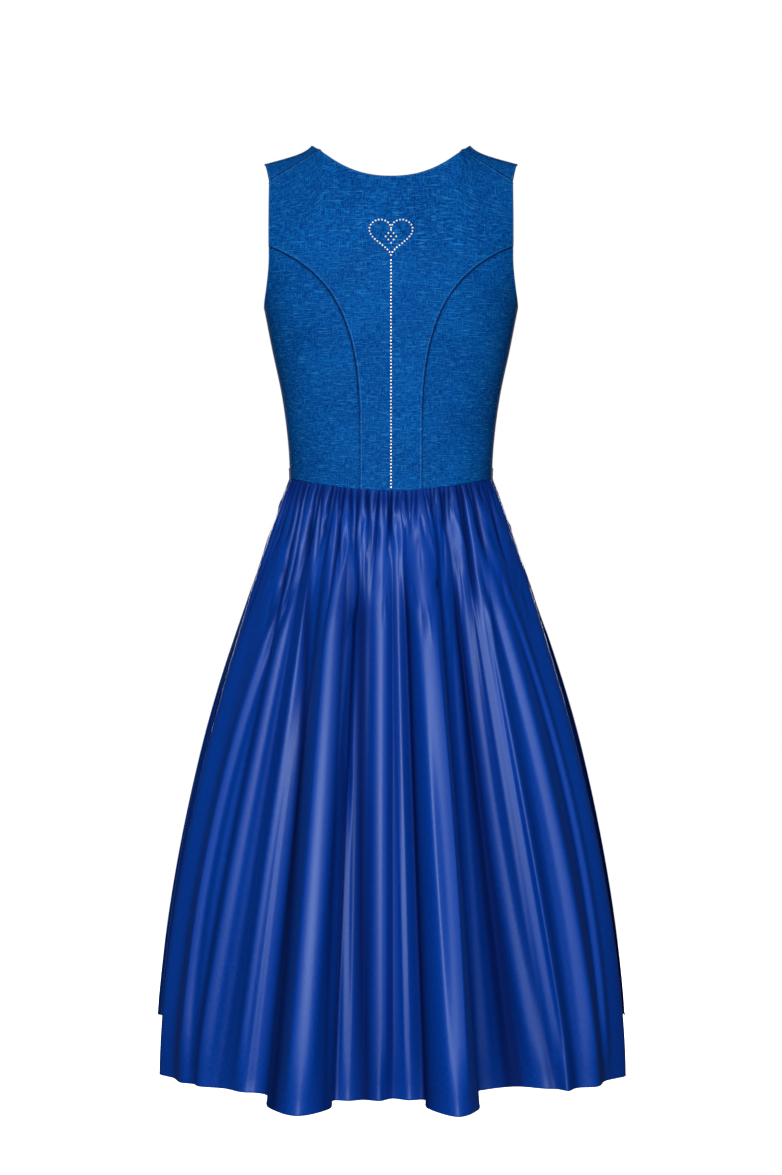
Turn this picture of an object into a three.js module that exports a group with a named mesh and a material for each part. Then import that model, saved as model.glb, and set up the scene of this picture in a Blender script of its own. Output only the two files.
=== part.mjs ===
// A sleeveless dirndl, filled out and hollow, as it stands when it is worn: a fitted
// bodice with princess seams, a gathered skirt, and an apron caught into the side seams.
// Millimetres. +Z is up, the front faces -Y and the wearer's left is +X. The origin lies
// midway between the shoulders, at the height where the straps rest on them.

import * as THREE from "three";

// Cloth
const BODICE_WALL = 1.6;
const SKIRT_WALL = 1.2;
const APRON_WALL = 1.0;
const SEAM_GAP = 0.3;
const LAYER_GAP = 0.6;

// Heights
const WAIST_SIDE_Z = -393;
const WAIST_DIP = 19;
const UNDERARM_Z = -192;
const BLADE_Z = -130;
const HEM_Z = -1105;
const APRON_HEM_Z = -1041;

// Shoulders: how far the cloth runs from blade height up to the top of the shoulder
const OVER_SHOULDER = 137;
const CREST_H = BLADE_Z + OVER_SHOULDER;
const SHOULDER_ROUNDING = 0.84;
const NECK_HALF = 93;
const STRAP_END = 150.5;
const BACK_NECK_DROP = 43.5;
const FRONT_NECK_DROP = 165;
const BACK_SEAM = { inner: { x: 83, z: -8 }, outer: { x: 143.4, z: -46 } };

// Princess seams: half the centre panel's width at the waist, and where they meet the armhole
const BACK_PRINCESS = { waist: 36, straightTo: -330, pull: { x: 75, z: -157 }, armhole: { x: 142.7, z: -124 } };
const FRONT_PRINCESS = { waist: 40, low: { x: 70, z: -320 }, high: { x: 82, z: -190 }, armhole: { x: 137, z: -128 } };

// The front closes with the wearer's right edge lapped over the left
const LAP = 9;
const LAP_LIFT = BODICE_WALL + 1.1;
const BUTTON = { count: 7, radius: 7, height: 3.4, top: -184, pitch: 32, sides: 12 };

// Apron band
const BAND_HALF = 13;
const BAND_WALL = 1.6;
const BAND_END = 84;

// Gathers
const BACK_GATHERS = 36;
const FRONT_GATHERS = 24;
const STEPS_PER_GATHER = 4;
const GATHER_DEPTH = 2.5;

// The general figure that the bodice is cut for: half width, and depth behind and before
// the plane through the shoulders. Squareness is the exponent of each rounded section.
const SQUARENESS = 2.3;
const FIGURE = [
  { z: -430, half: 119, back: 88, front: 101 },
  { z: -393, half: 118.5, back: 86, front: 100 },
  { z: -350, half: 120.8, back: 87, front: 103 },
  { z: -296, half: 128, back: 92, front: 112 },
  { z: -243, half: 139.2, back: 97, front: 120 },
  { z: -192, half: 149.3, back: 101, front: 117 },
  { z: -150, half: 158, back: 101, front: 106 },
  { z: -100, half: 168, back: 92, front: 88 },
  { z: -46, half: 172, back: 74, front: 72 },
  { z: 0, half: 172, back: 60, front: 60 },
];
const BUST = { x: 82, z: -248, rise: 15, across: 40, down: 50 };

// Folds of the skirt, in order round it from the left side seam over the back. waist is the
// angle from centre back where the fold leaves the waist seam, x and y its place at the hem,
// lift its height there over the level hem, and dip how deep the trough after it is.
const BACK_FOLDS = [
  { waist: 90, x: 263, y: -42, lift: 0, dip: 0 },
  { waist: 80, x: 277, y: -18, lift: -1, dip: 4 },
  { waist: 63, x: 247, y: 44, lift: -1, dip: 5 },
  { waist: 55, x: 224, y: 76, lift: 0, dip: 7 },
  { waist: 48, x: 171, y: 122, lift: 1, dip: 5 },
  { waist: 43, x: 143, y: 134, lift: 0, dip: 0 },
  { waist: 39, x: 137, y: 206, lift: -2, dip: 0 },
  { waist: 32, x: 104, y: 246, lift: -4, dip: 0 },
  { waist: 24, x: 69, y: 214, lift: -2, dip: 0 },
  { waist: 21, x: 64, y: 170, lift: 0, dip: 0 },
  { waist: 18, x: 48, y: 173, lift: 0, dip: 7 },
  { waist: 7, x: 13, y: 174, lift: 0, dip: 14 },
  { waist: -3, x: -20, y: 169, lift: 0, dip: 0 },
  { waist: -7, x: -37, y: 166, lift: 0, dip: 0 },
  { waist: -11, x: -41, y: 210, lift: -2, dip: 0 },
  { waist: -19, x: -75, y: 246, lift: -5, dip: 0 },
  { waist: -28, x: -98, y: 212, lift: -3, dip: 0 },
  { waist: -32, x: -98, y: 108, lift: -1, dip: 0 },
  { waist: -36, x: -117, y: 98, lift: 1, dip: 14 },
  { waist: -45, x: -178, y: 98, lift: 1, dip: 5 },
  { waist: -52, x: -204, y: 108, lift: 0, dip: 8 },
  { waist: -61, x: -240, y: 78, lift: 0, dip: 7 },
  { waist: -80, x: -280, y: -5, lift: -1, dip: 0 },
  { waist: -90, x: -265, y: -36, lift: -2, dip: 0 },
];
const FRONT_FOLDS = [
  { waist: -100, x: -275, y: -66, lift: 0, dip: 12 },
  { waist: -114, x: -240, y: -122, lift: 0, dip: 15 },
  { waist: -128, x: -192, y: -166, lift: 0, dip: 18 },
  { waist: -142, x: -143, y: -204, lift: 0, dip: 16 },
  { waist: -155, x: -92, y: -222, lift: 0, dip: 20 },
  { waist: -168, x: -46, y: -238, lift: 0, dip: 15 },
  { waist: -180, x: 2, y: -229, lift: 0, dip: 18 },
  { waist: -193, x: 49, y: -236, lift: 0, dip: 20 },
  { waist: -206, x: 96, y: -226, lift: 0, dip: 15 },
  { waist: -219, x: 144, y: -200, lift: 0, dip: 18 },
  { waist: -232, x: 191, y: -168, lift: 0, dip: 16 },
  { waist: -246, x: 238, y: -124, lift: 0, dip: 13 },
  { waist: -260, x: 276, y: -68, lift: 0, dip: 10 },
];
// How soon the skirt moves out to its full width at the sides
const SIDE_SPREAD = 0.75;
// How soon the skirt moves out to its full depth below the waist
const DEPTH_SPREAD = 1.5;
// Shares of the skirt's fall at which it has a row of points
const SKIRT_ROWS = [0, 0.02, 0.06, 0.13, 0.24, 0.42, 0.66];
const FULL_FALL = HEM_Z - WAIST_SIDE_Z;
const APRON_FALL = (APRON_HEM_Z - WAIST_SIDE_Z) / FULL_FALL;

const rad = THREE.MathUtils.degToRad;
const lerp = THREE.MathUtils.lerp;
const smooth = (value, from, to) => THREE.MathUtils.smoothstep(value, from, to);

const bodiceCloth = new THREE.MeshStandardMaterial({ color: 0x0b57a5, roughness: 0.85, metalness: 0 });
const skirtCloth = new THREE.MeshStandardMaterial({ color: 0x0a3f9c, roughness: 0.35, metalness: 0 });
const apronCloth = new THREE.MeshStandardMaterial({ color: 0x0b388c, roughness: 0.35, metalness: 0 });
const buttonMetal = new THREE.MeshStandardMaterial({ color: 0xb9bcc2, roughness: 0.35, metalness: 1 });

// A column of a table at a height between its rows, on a smooth curve through them.
function between(table, z, column) {
  const last = table.length - 1;
  let i = table.findIndex((row) => row.z > z) - 1;
  if (i === -2) i = last - 1;
  i = THREE.MathUtils.clamp(i, 0, last - 1);
  const slope = (k) => {
    const low = table[Math.max(k - 1, 0)];
    const high = table[Math.min(k + 1, last)];
    return (high[column] - low[column]) / (high.z - low.z);
  };
  const a = table[i];
  const b = table[i + 1];
  const span = b.z - a.z;
  const t = THREE.MathUtils.clamp((z - a.z) / span, 0, 1);
  const s = t * t * (3 - 2 * t);
  const rise = t * (1 - t) * (1 - t) * slope(i) - t * t * (1 - t) * slope(i + 1);
  return lerp(a[column], b[column], s) + rise * span;
}

// Height of the top of the shoulder at a distance from the centre: it climbs to the neck.
function crestZ(x) {
  const out = Math.max(Math.abs(x), NECK_HALF - 14);
  return -14 - 0.26 * (out - 118) + 7.5 * Math.exp((NECK_HALF - out) / 9);
}

// How far the cloth lies from the shoulder plane, behind it (side 1) or before it (side -1).
function figureDepth(x, z, side) {
  const share = Math.min(Math.abs(x) / between(FIGURE, z, "half"), 1);
  const round = (1 - share ** SQUARENESS) ** (1 / SQUARENESS);
  return round * (between(FIGURE, z, side > 0 ? "back" : "front") + bust(x, z, side));
}

function bust(x, z, side) {
  if (side > 0) return 0;
  const across = (Math.abs(x) - BUST.x) / BUST.across;
  const down = (z - BUST.z) / BUST.down;
  return BUST.rise * Math.exp(-across * across - down * down);
}

// A point of the figure by distance from the centre and length of cloth up from the waist;
// above blade height the cloth turns over the shoulder to the other side.
function overShoulder(x, h, side) {
  const turn = (Math.max(h - BLADE_Z, 0) / OVER_SHOULDER) * (Math.PI / 2);
  const z = h < BLADE_Z ? h : BLADE_Z + (crestZ(x) - BLADE_Z) * Math.sin(turn);
  const face = Math.cos(turn) < 0 ? -side : side;
  const out = Math.abs(Math.cos(turn)) ** SHOULDER_ROUNDING;
  return new THREE.Vector3(x, face * out * figureDepth(x, z, face), z);
}

// The length of cloth up to a height on the near side of the shoulder, or past its top.
function clothLength(x, z, past = false) {
  if (z <= BLADE_Z) return z;
  const turn = Math.asin(Math.min((z - BLADE_Z) / (crestZ(x) - BLADE_Z), 1));
  return BLADE_Z + (OVER_SHOULDER * (past ? Math.PI - turn : turn)) / (Math.PI / 2);
}

// A point of the figure by angle from centre back, for the panels that turn round the side.
function roundBody(angle, z) {
  const side = Math.cos(angle) >= 0 ? 1 : -1;
  const half = between(FIGURE, z, "half");
  const deep = between(FIGURE, z, side > 0 ? "back" : "front");
  const across = Math.abs(Math.sin(angle) / half) ** SQUARENESS;
  const along = Math.abs(Math.cos(angle) / deep) ** SQUARENESS;
  const radius = (across + along) ** (-1 / SQUARENESS);
  const x = radius * Math.sin(angle);
  const share = Math.min(Math.abs(x) / half, 1);
  const round = (1 - share ** SQUARENESS) ** (1 / SQUARENESS);
  const turn = Math.min(Math.max(z - BLADE_Z, 0) / (crestZ(x) - BLADE_Z), 1);
  const deepest = radius * Math.cos(angle) + side * round * bust(x, z, side);
  const y = deepest * (1 - turn * turn) ** (SHOULDER_ROUNDING / 2);
  return new THREE.Vector3(x, y, z);
}

// The angle from centre back that roundBody needs to reach a point seen at x.
function angleAt(x, z, side) {
  const deep = between(FIGURE, z, side > 0 ? "back" : "front");
  const share = Math.min(Math.abs(x) / between(FIGURE, z, "half"), 1);
  const round = (1 - share ** SQUARENESS) ** (1 / SQUARENESS);
  return Math.atan2(x, side * deep * round);
}

// The waist seam is lowest at centre back and centre front.
const waistZ = (angle) => WAIST_SIDE_Z - WAIST_DIP * Math.abs(Math.cos(angle)) ** 1.3;

// The waist seam's height at a distance from the centre.
function waistZAt(x, side) {
  return waistZ(angleAt(x, WAIST_SIDE_Z - WAIST_DIP / 2, side));
}

function bezier(a, b, c, d, t) {
  return { x: cubic(a.x, b.x, c.x, d.x, t), z: cubic(a.z, b.z, c.z, d.z, t) };
}

function cubic(a, b, c, d, t) {
  const s = 1 - t;
  return s * s * s * a + 3 * s * s * t * b + 3 * s * t * t * c + t * t * t * d;
}

// Seams and edges of the bodice on its left half, from the bottom up, t from 0 to 1.
function backPrincess(t) {
  const { waist, straightTo, pull, armhole } = BACK_PRINCESS;
  const foot = { x: waist, z: waistZAt(waist, 1) };
  const knee = { x: waist, z: straightTo };
  const straight = 0.3;
  if (t < straight) return { x: waist, z: lerp(foot.z, knee.z, t / straight) };
  const above = { x: waist, z: straightTo + 127 };
  return bezier(knee, above, pull, armhole, (t - straight) / (1 - straight));
}

function frontPrincess(t) {
  const { waist, low, high, armhole } = FRONT_PRINCESS;
  return bezier({ x: waist, z: waistZAt(waist, -1) }, low, high, armhole, t);
}

// The set-back shoulder seam, s from the neck to the armhole.
function shoulderSeam(s) {
  return {
    x: lerp(BACK_SEAM.inner.x, BACK_SEAM.outer.x, s),
    z: lerp(BACK_SEAM.inner.z, BACK_SEAM.outer.z, s),
  };
}

const backNeckZ = (x) => -BACK_NECK_DROP * (1 - (Math.abs(x) / NECK_HALF) ** 2.25);

// The front neckline as x and length of cloth: a rounded square from the lap to the shoulder.
function frontNeck(t) {
  const lapAngle = -Math.asin((LAP / NECK_HALF) ** 1.3);
  const angle = lerp(lapAngle, Math.PI / 2, t);
  const power = 2 / 2.6;
  const x = NECK_HALF * Math.sign(angle) * Math.abs(Math.sin(angle)) ** power;
  const h = CREST_H - (CREST_H + FRONT_NECK_DROP) * Math.cos(angle) ** power;
  return { x, h };
}

// A grid of points between four edge curves, each taken at the shares of its list.
function coons(bottom, top, left, right, columns, rows) {
  return rows.map((t, i) =>
    columns.map((s, j) => {
      const mix = (k) =>
        lerp(bottom[j][k], top[j][k], t) +
        lerp(left[i][k], right[i][k], s) -
        lerp(lerp(bottom[0][k], bottom.at(-1)[k], s), lerp(top[0][k], top.at(-1)[k], s), t);
      return [mix(0), mix(1)];
    }),
  );
}

const shares = (count, from = 0, to = 1) =>
  Array.from({ length: count + 1 }, (_, i) => lerp(from, to, i / count));

// Puts a flat grid on a surface, with the outward normal at each point.
function onSurface(grid, surface) {
  const step = 0.4;
  return grid.map((row) =>
    row.map(([u, v]) => {
      const point = surface(u, v);
      const across = surface(u + step * surface.unit, v).sub(surface(u - step * surface.unit, v));
      const up = surface(u, v + step).sub(surface(u, v - step));
      const normal = across.cross(up).normalize();
      if (normal.dot(surface.outward(point)) < 0) normal.negate();
      return { point, normal };
    }),
  );
}

// Moves a panel's edge inwards in its own surface by half a seam gap.
function cutSmall(grid, margin = SEAM_GAP / 2) {
  const rows = grid.length;
  const columns = grid[0].length;
  const moved = grid.map((row) => row.map((cell) => cell.point.clone()));
  const inward = (i, j, along, inside) => {
    const at = (r, c) => grid[THREE.MathUtils.clamp(r, 0, rows - 1)][THREE.MathUtils.clamp(c, 0, columns - 1)];
    const tangent = at(i + along[0], j + along[1]).point.clone().sub(at(i - along[0], j - along[1]).point);
    const across = tangent.cross(grid[i][j].normal).normalize();
    const neighbour = at(i + inside[0], j + inside[1]).point.clone().sub(grid[i][j].point);
    if (across.dot(neighbour) < 0) across.negate();
    moved[i][j].addScaledVector(across, margin);
  };
  for (let j = 0; j < columns; j++) {
    inward(0, j, [0, 1], [1, 0]);
    inward(rows - 1, j, [0, 1], [-1, 0]);
  }
  for (let i = 0; i < rows; i++) {
    inward(i, 0, [1, 0], [0, 1]);
    inward(i, columns - 1, [1, 0], [0, -1]);
  }
  return grid.map((row, i) => row.map((cell, j) => ({ point: moved[i][j], normal: cell.normal })));
}

// A closed wall from a grid of points, from one distance out along the normals to another.
function wall(grid, inner, outer) {
  const rows = grid.length;
  const columns = grid[0].length;
  const positions = [];
  for (const distance of [inner, outer])
    for (const row of grid)
      for (const { point, normal } of row)
        positions.push(...point.clone().addScaledVector(normal, distance).toArray());
  const index = [];
  const quad = (a, b, c, d) => index.push(a, b, c, a, c, d);
  const near = (i, j) => i * columns + j;
  const far = (i, j) => rows * columns + near(i, j);
  for (let i = 0; i + 1 < rows; i++) {
    for (let j = 0; j + 1 < columns; j++) {
      quad(far(i, j), far(i, j + 1), far(i + 1, j + 1), far(i + 1, j));
      quad(near(i, j), near(i + 1, j), near(i + 1, j + 1), near(i, j + 1));
    }
    quad(near(i, 0), far(i, 0), far(i + 1, 0), near(i + 1, 0));
    quad(near(i, columns - 1), near(i + 1, columns - 1), far(i + 1, columns - 1), far(i, columns - 1));
  }
  for (let j = 0; j + 1 < columns; j++) {
    quad(near(0, j), near(0, j + 1), far(0, j + 1), far(0, j));
    quad(near(rows - 1, j), far(rows - 1, j), far(rows - 1, j + 1), near(rows - 1, j + 1));
  }
  return outward(positions, index);
}

// A geometry with its faces turned to point out of the solid.
function outward(positions, index) {
  const corner = (k) => new THREE.Vector3().fromArray(positions, 3 * index[k]);
  let volume = 0;
  for (let k = 0; k < index.length; k += 3) volume += corner(k).dot(corner(k + 1).cross(corner(k + 2)));
  const turned = volume < 0 ? index.slice().reverse() : index;
  const geometry = new THREE.BufferGeometry();
  geometry.setAttribute("position", new THREE.Float32BufferAttribute(positions, 3));
  geometry.setIndex(turned);
  geometry.computeVertexNormals();
  return geometry;
}

const dirndl = new THREE.Group();

function add(name, geometry, material) {
  const mesh = new THREE.Mesh(geometry, material);
  mesh.name = name;
  dirndl.add(mesh);
  return mesh;
}

// Surfaces that a flat grid is put on
function shoulderSurface(side, mirror = 1) {
  const surface = (x, h) => {
    const point = overShoulder(x, h, side);
    point.x *= mirror;
    return point;
  };
  surface.unit = 1;
  surface.outward = (point) => new THREE.Vector3(point.x * 0.3, point.y, Math.max(point.z + 60, 0));
  return surface;
}

function sideSurface(mirror) {
  const surface = (angle, z) => {
    const point = roundBody(angle, z);
    point.x *= mirror;
    return point;
  };
  surface.unit = 0.01;
  surface.outward = (point) => new THREE.Vector3(point.x, point.y, 0);
  return surface;
}

const PRINCESS_STEPS = 12;
const ARMHOLE_STEPS = 4;
const SHOULDER_STEPS = 4;

function backCentre() {
  const neckSteps = 8;
  const bottomX = shares(2 * SHOULDER_STEPS + neckSteps, 1, -1).map((s) => s * BACK_PRINCESS.waist);
  const bottom = bottomX.map((x) => [x, waistZAt(x, 1)]);
  const seam = shares(SHOULDER_STEPS, 1, 0).map(shoulderSeam);
  const neck = shares(neckSteps, BACK_SEAM.inner.x, -BACK_SEAM.inner.x).map((x) => ({ x, z: backNeckZ(x) }));
  neck[0].z = neck.at(-1).z = BACK_SEAM.inner.z;
  const topPoints = [...seam.slice(0, -1), ...neck, ...seam.reverse().slice(1).map(({ x, z }) => ({ x: -x, z }))];
  const top = topPoints.map(({ x, z }) => [x, clothLength(x, z)]);
  const edge = [
    ...shares(PRINCESS_STEPS).map(backPrincess),
    ...shares(ARMHOLE_STEPS).slice(1).map((t) => ({
      x: lerp(BACK_PRINCESS.armhole.x, BACK_SEAM.outer.x, t),
      z: lerp(BACK_PRINCESS.armhole.z, BACK_SEAM.outer.z, t),
    })),
  ];
  const left = edge.map(({ x, z }) => [x, clothLength(x, z)]);
  const right = left.map(([x, h]) => [-x, h]);
  const columns = shares(topPoints.length - 1);
  const rows = left.map(([, h]) => (h - left[0][1]) / (left.at(-1)[1] - left[0][1]));
  const grid = coons(bottom, top, left, right, columns, rows);
  return onSurface(grid, shoulderSurface(1));
}

function backSide(mirror) {
  const across = 5;
  const left = shares(PRINCESS_STEPS).map((t) => {
    const { x, z } = backPrincess(t);
    return [angleAt(x, z, 1), z];
  });
  return sidePanel(left, Math.PI / 2, across, mirror);
}

function frontSide(mirror) {
  const across = 5;
  const left = shares(PRINCESS_STEPS).map((t) => {
    const { x, z } = frontPrincess(t);
    return [angleAt(x, z, -1), z];
  });
  return sidePanel(left, Math.PI / 2, across, mirror);
}

// A panel from a princess seam to the side seam, with the armhole's scoop along its top.
function sidePanel(left, sideAngle, across, mirror) {
  const [footAngle] = left[0];
  const [armAngle, armZ] = left.at(-1);
  const columns = shares(across);
  const bottom = columns.map((s) => lerp(footAngle, sideAngle, s)).map((a) => [a, waistZ(a)]);
  const top = columns.map((s) => {
    const quarter = (1 - s) * (Math.PI / 2);
    return [
      lerp(sideAngle, armAngle, Math.sin(quarter)),
      lerp(UNDERARM_Z, armZ, 1 - Math.cos(quarter)),
    ];
  });
  const rows = left.map(([, z]) => (z - left[0][1]) / (armZ - left[0][1]));
  const right = rows.map((t) => [sideAngle, lerp(WAIST_SIDE_Z, UNDERARM_Z, t)]);
  return onSurface(coons(bottom, top, left, right, columns, rows), sideSurface(mirror));
}

// A front panel from the lap to the princess seam, up over the shoulder to the set-back seam.
function frontCentre(mirror) {
  const neckSteps = 7;
  const closureSteps = PRINCESS_STEPS + ARMHOLE_STEPS - neckSteps;
  const overSteps = 3;
  const acrossSteps = 2 * SHOULDER_STEPS;
  const foot = waistZAt(LAP, -1);
  const seamAt = (s) => {
    const { x, z } = shoulderSeam(s);
    return [x, clothLength(x, z, true)];
  };
  const [innerX, innerH] = seamAt(0);
  const [outerX, outerH] = seamAt(1);
  const left = [
    ...shares(closureSteps, foot, -FRONT_NECK_DROP).map((h) => [-LAP, h]),
    ...shares(neckSteps).slice(1).map((t) => Object.values(frontNeck(t))),
    ...shares(overSteps).slice(1).map((t) => [lerp(NECK_HALF, innerX, t * t), lerp(CREST_H, innerH, t)]),
  ];
  left[closureSteps] = [-LAP, frontNeck(0).h];
  const edge = FRONT_PRINCESS.armhole;
  const right = [
    ...shares(PRINCESS_STEPS).map((t) => frontPrincess(t)).map(({ x, z }) => [x, clothLength(x, z)]),
    ...shares(ARMHOLE_STEPS).slice(1).map((t) => [
      lerp(edge.x, STRAP_END, t ** 2.2),
      lerp(clothLength(edge.x, edge.z), CREST_H, t),
    ]),
    ...shares(overSteps).slice(1).map((t) => [lerp(STRAP_END, outerX, t ** 1.3), lerp(CREST_H, outerH, t)]),
  ];
  const columns = shares(acrossSteps);
  const bottom = columns.map((s) => lerp(-LAP, FRONT_PRINCESS.waist, s)).map((x) => [x, waistZAt(x, -1)]);
  const top = columns.map(seamAt);
  const rows = shares(left.length - 1);
  const grid = onSurface(coons(bottom, top, left, right, columns, rows), shoulderSurface(-1, mirror));
  return mirror < 0 ? grid.map((row) => row.map(lapped)) : grid;
}

// The wearer's right front is lifted clear of the left one where the two lap.
function lapped({ point, normal }) {
  const onFront = point.y < 0 && point.z < -FRONT_NECK_DROP + 40;
  const lift = onFront ? LAP_LIFT * smooth(point.x, -56, -30) : 0;
  return { point: point.clone().addScaledVector(normal, lift), normal };
}

function buildBodice() {
  const panel = (name, grid) => add(name, wall(cutSmall(grid), 0, BODICE_WALL), bodiceCloth);
  panel("back_centre", backCentre());
  for (const [word, mirror] of [["left", 1], ["right", -1]]) {
    panel(`back_side_${word}`, backSide(mirror));
    panel(`front_side_${word}`, frontSide(mirror));
    panel(`front_centre_${word}`, frontCentre(mirror));
  }
}

// Domed shank buttons down the lap, each square to the cloth.
function buildButtons() {
  const { count, radius, height, top, pitch, sides } = BUTTON;
  const profile = [
    [0, 0],
    [radius * 0.55, 0],
    [radius, height * 0.35],
    [radius * 0.94, height * 0.62],
    [radius * 0.55, height * 0.92],
    [0, height],
  ].map(([r, h]) => new THREE.Vector2(r, h));
  const surface = shoulderSurface(-1);
  for (let k = 0; k < count; k++) {
    const [[cell]] = onSurface([[[0, top - k * pitch]]], surface);
    const mesh = add(`button_${k + 1}`, new THREE.LatheGeometry(profile, sides), buttonMetal);
    mesh.quaternion.setFromUnitVectors(new THREE.Vector3(0, 1, 0), cell.normal);
    mesh.position.copy(cell.point).addScaledVector(cell.normal, LAP_LIFT + BODICE_WALL + LAYER_GAP);
  }
}

// The skirt's folds as ridges and troughs, each with its place at the waist and at the hem.
function foldLine() {
  const rows = [...BACK_FOLDS, ...FRONT_FOLDS];
  return rows.flatMap((row, i) => {
    const next = i + 1 < rows.length ? rows[i + 1] : { ...rows[0], waist: rows[0].waist - 360 };
    if (!row.dip) return [row];
    const chord = new THREE.Vector2(next.x - row.x, next.y - row.y).normalize();
    const trough = {
      waist: (row.waist + next.waist) / 2,
      x: (row.x + next.x) / 2 - chord.y * row.dip,
      y: (row.y + next.y) / 2 + chord.x * row.dip,
      lift: (row.lift + next.lift) / 2,
    };
    return [row, trough];
  });
}

// The closed line of the hem, one point to each fold.
function hemLine(folds) {
  const points = folds.map(({ x, y, lift }) => new THREE.Vector3(x, y, HEM_Z + lift));
  return new THREE.CatmullRomCurve3(points, true, "centripetal");
}

// A point of the skirt's cloth between the waist seam and the hem, without its gathers.
function skirtPoint(start, hem, fall) {
  const sideways = start.x / Math.hypot(start.x, start.y);
  const spread = 1 + SIDE_SPREAD * sideways ** 6;
  const x = lerp(start.x, hem.x, 1 - (1 - fall) ** spread);
  const y = lerp(start.y, hem.y, 1 - (1 - fall) ** DEPTH_SPREAD);
  return new THREE.Vector3(x, y, lerp(start.z - SEAM_GAP, hem.z, fall));
}

// Where along the fold line a waist angle lies, as a share of the whole line.
function lineShare(folds, waist) {
  const after = folds.findIndex((fold) => fold.waist < waist);
  const i = after < 0 ? folds.length - 1 : after - 1;
  const from = folds[i].waist;
  const to = i + 1 < folds.length ? folds[i + 1].waist : folds[0].waist - 360;
  return (i + (waist - from) / (to - from)) / folds.length;
}

// Depth of the gathers at a share of the fall; some run further down than others.
function gatherDepth(fall, gather) {
  const length = 0.13 + 0.07 * Math.sin(gather * 2.4) + 0.05 * Math.sin(gather * 5.1);
  const size = 0.8 + 0.2 * Math.sin(gather * 3.7);
  return GATHER_DEPTH * size * lerp(0.45, 1, smooth(fall, 0, 0.02)) * (1 - smooth(fall, length * 0.4, length * 1.6));
}

// The whole skirt as a grid: rows down its fall and columns round it, four to a gather.
function skirtGrid() {
  const folds = foldLine();
  const line = hemLine(folds);
  const falls = [...SKIRT_ROWS, APRON_FALL, 1];
  const columns = [
    ...shares(BACK_GATHERS * STEPS_PER_GATHER, 90, -90).slice(0, -1),
    ...shares(FRONT_GATHERS * STEPS_PER_GATHER, -90, -270).slice(0, -1),
  ];
  const starts = columns.map((waist) => roundBody(rad(waist), waistZ(rad(waist))));
  const hems = columns.map((waist) => line.getPoint(lineShare(folds, waist)));
  return falls.map((fall) => {
    const bare = columns.map((waist, j) => skirtPoint(starts[j], hems[j], fall));
    return bare.map((point, j) => {
      const along = bare[(j + 1) % bare.length].clone().sub(bare.at(j - 1));
      const flat = new THREE.Vector3(along.y, -along.x, 0).normalize();
      const wave = Math.cos((2 * Math.PI * j) / STEPS_PER_GATHER);
      const depth = gatherDepth(fall, Math.round(j / STEPS_PER_GATHER));
      const flush = BODICE_WALL * (1 - smooth(fall, 0, 0.1));
      return { point: point.clone().addScaledVector(flat, flush + depth * (wave - 1)), flat };
    });
  });
}

// Gives each point of a closed grid its outward normal from the points about it.
function withNormals(grid) {
  const rows = grid.length;
  const columns = grid[0].length;
  return grid.map((row, i) =>
    row.map((cell, j) => {
      const down = grid[Math.min(i + 1, rows - 1)][j].point.clone().sub(grid[Math.max(i - 1, 0)][j].point);
      const round = row[(j + 1) % columns].point.clone().sub(row[(j + columns - 1) % columns].point);
      const normal = down.cross(round);
      if (i === 0 || i === rows - 1) normal.z = 0;
      if (normal.dot(cell.flat) < 0) normal.negate();
      return { ...cell, normal: normal.normalize() };
    }),
  );
}

// Columns of a closed grid from one to another, counted on past its end.
function cutOut(grid, from, to, firstRow = 0, lastRow = grid.length - 1) {
  const columns = grid[0].length;
  return grid.slice(firstRow, lastRow + 1).map((row) =>
    Array.from({ length: to - from + 1 }, (_, k) => row[(from + k) % columns]),
  );
}

function buildSkirt() {
  const grid = withNormals(skirtGrid());
  const backColumns = BACK_GATHERS * STEPS_PER_GATHER;
  const allColumns = grid[0].length;
  const panel = (from, to) => wall(cutSmall(cutOut(grid, from, to)), -SKIRT_WALL, 0);
  add("skirt_back", panel(0, backColumns), skirtCloth);
  add("skirt_front", panel(backColumns, allColumns), skirtCloth);

  // The apron is made from the skirt's own points, moved out.
  const sideColumns = 3;
  const apronRow = grid.length - 2;
  const cover = cutOut(grid, backColumns + sideColumns, allColumns - sideColumns, 1, apronRow);
  add("apron_panel", wall(cutSmall(cover), LAYER_GAP, LAYER_GAP + APRON_WALL), apronCloth);
}

// The apron's band lies over the waist seam from one side to the other.
function buildBand() {
  const steps = 40;
  const folds = foldLine();
  const line = hemLine(folds);
  const clear = (x) => BODICE_WALL + LAYER_GAP + LAP_LIFT * (1 - smooth(Math.abs(x), 34, 70));
  const rises = [-1, -0.5, 0, 1];
  const grid = rises.map((rise) =>
    shares(steps, -180 + BAND_END, -180 - BAND_END).map((waist) => {
      const angle = rad(waist);
      const z = waistZ(angle) + rise * BAND_HALF;
      const start = roundBody(angle, Math.max(z, waistZ(angle)));
      const fall = Math.max(-rise, 0) * (BAND_HALF / -FULL_FALL);
      const point = skirtPoint(start, line.getPoint(lineShare(folds, waist)), fall);
      const normal = new THREE.Vector3(start.x / 119 ** 2, start.y / 100 ** 2, 0).normalize();
      return { point: point.setZ(z).addScaledVector(normal, clear(start.x)), normal };
    }),
  );
  add("apron_band", wall(cutSmall(grid), 0, BAND_WALL), apronCloth);
}

buildBodice();
buildButtons();
buildSkirt();
buildBand();

export default dirndl;
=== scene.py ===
"""The looks of a sleeveless dirndl, filled out and hollow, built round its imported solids."""

import logging
import math
from collections.abc import Callable, Iterator, Sequence
from dataclasses import dataclass, field
from enum import Enum

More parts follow.
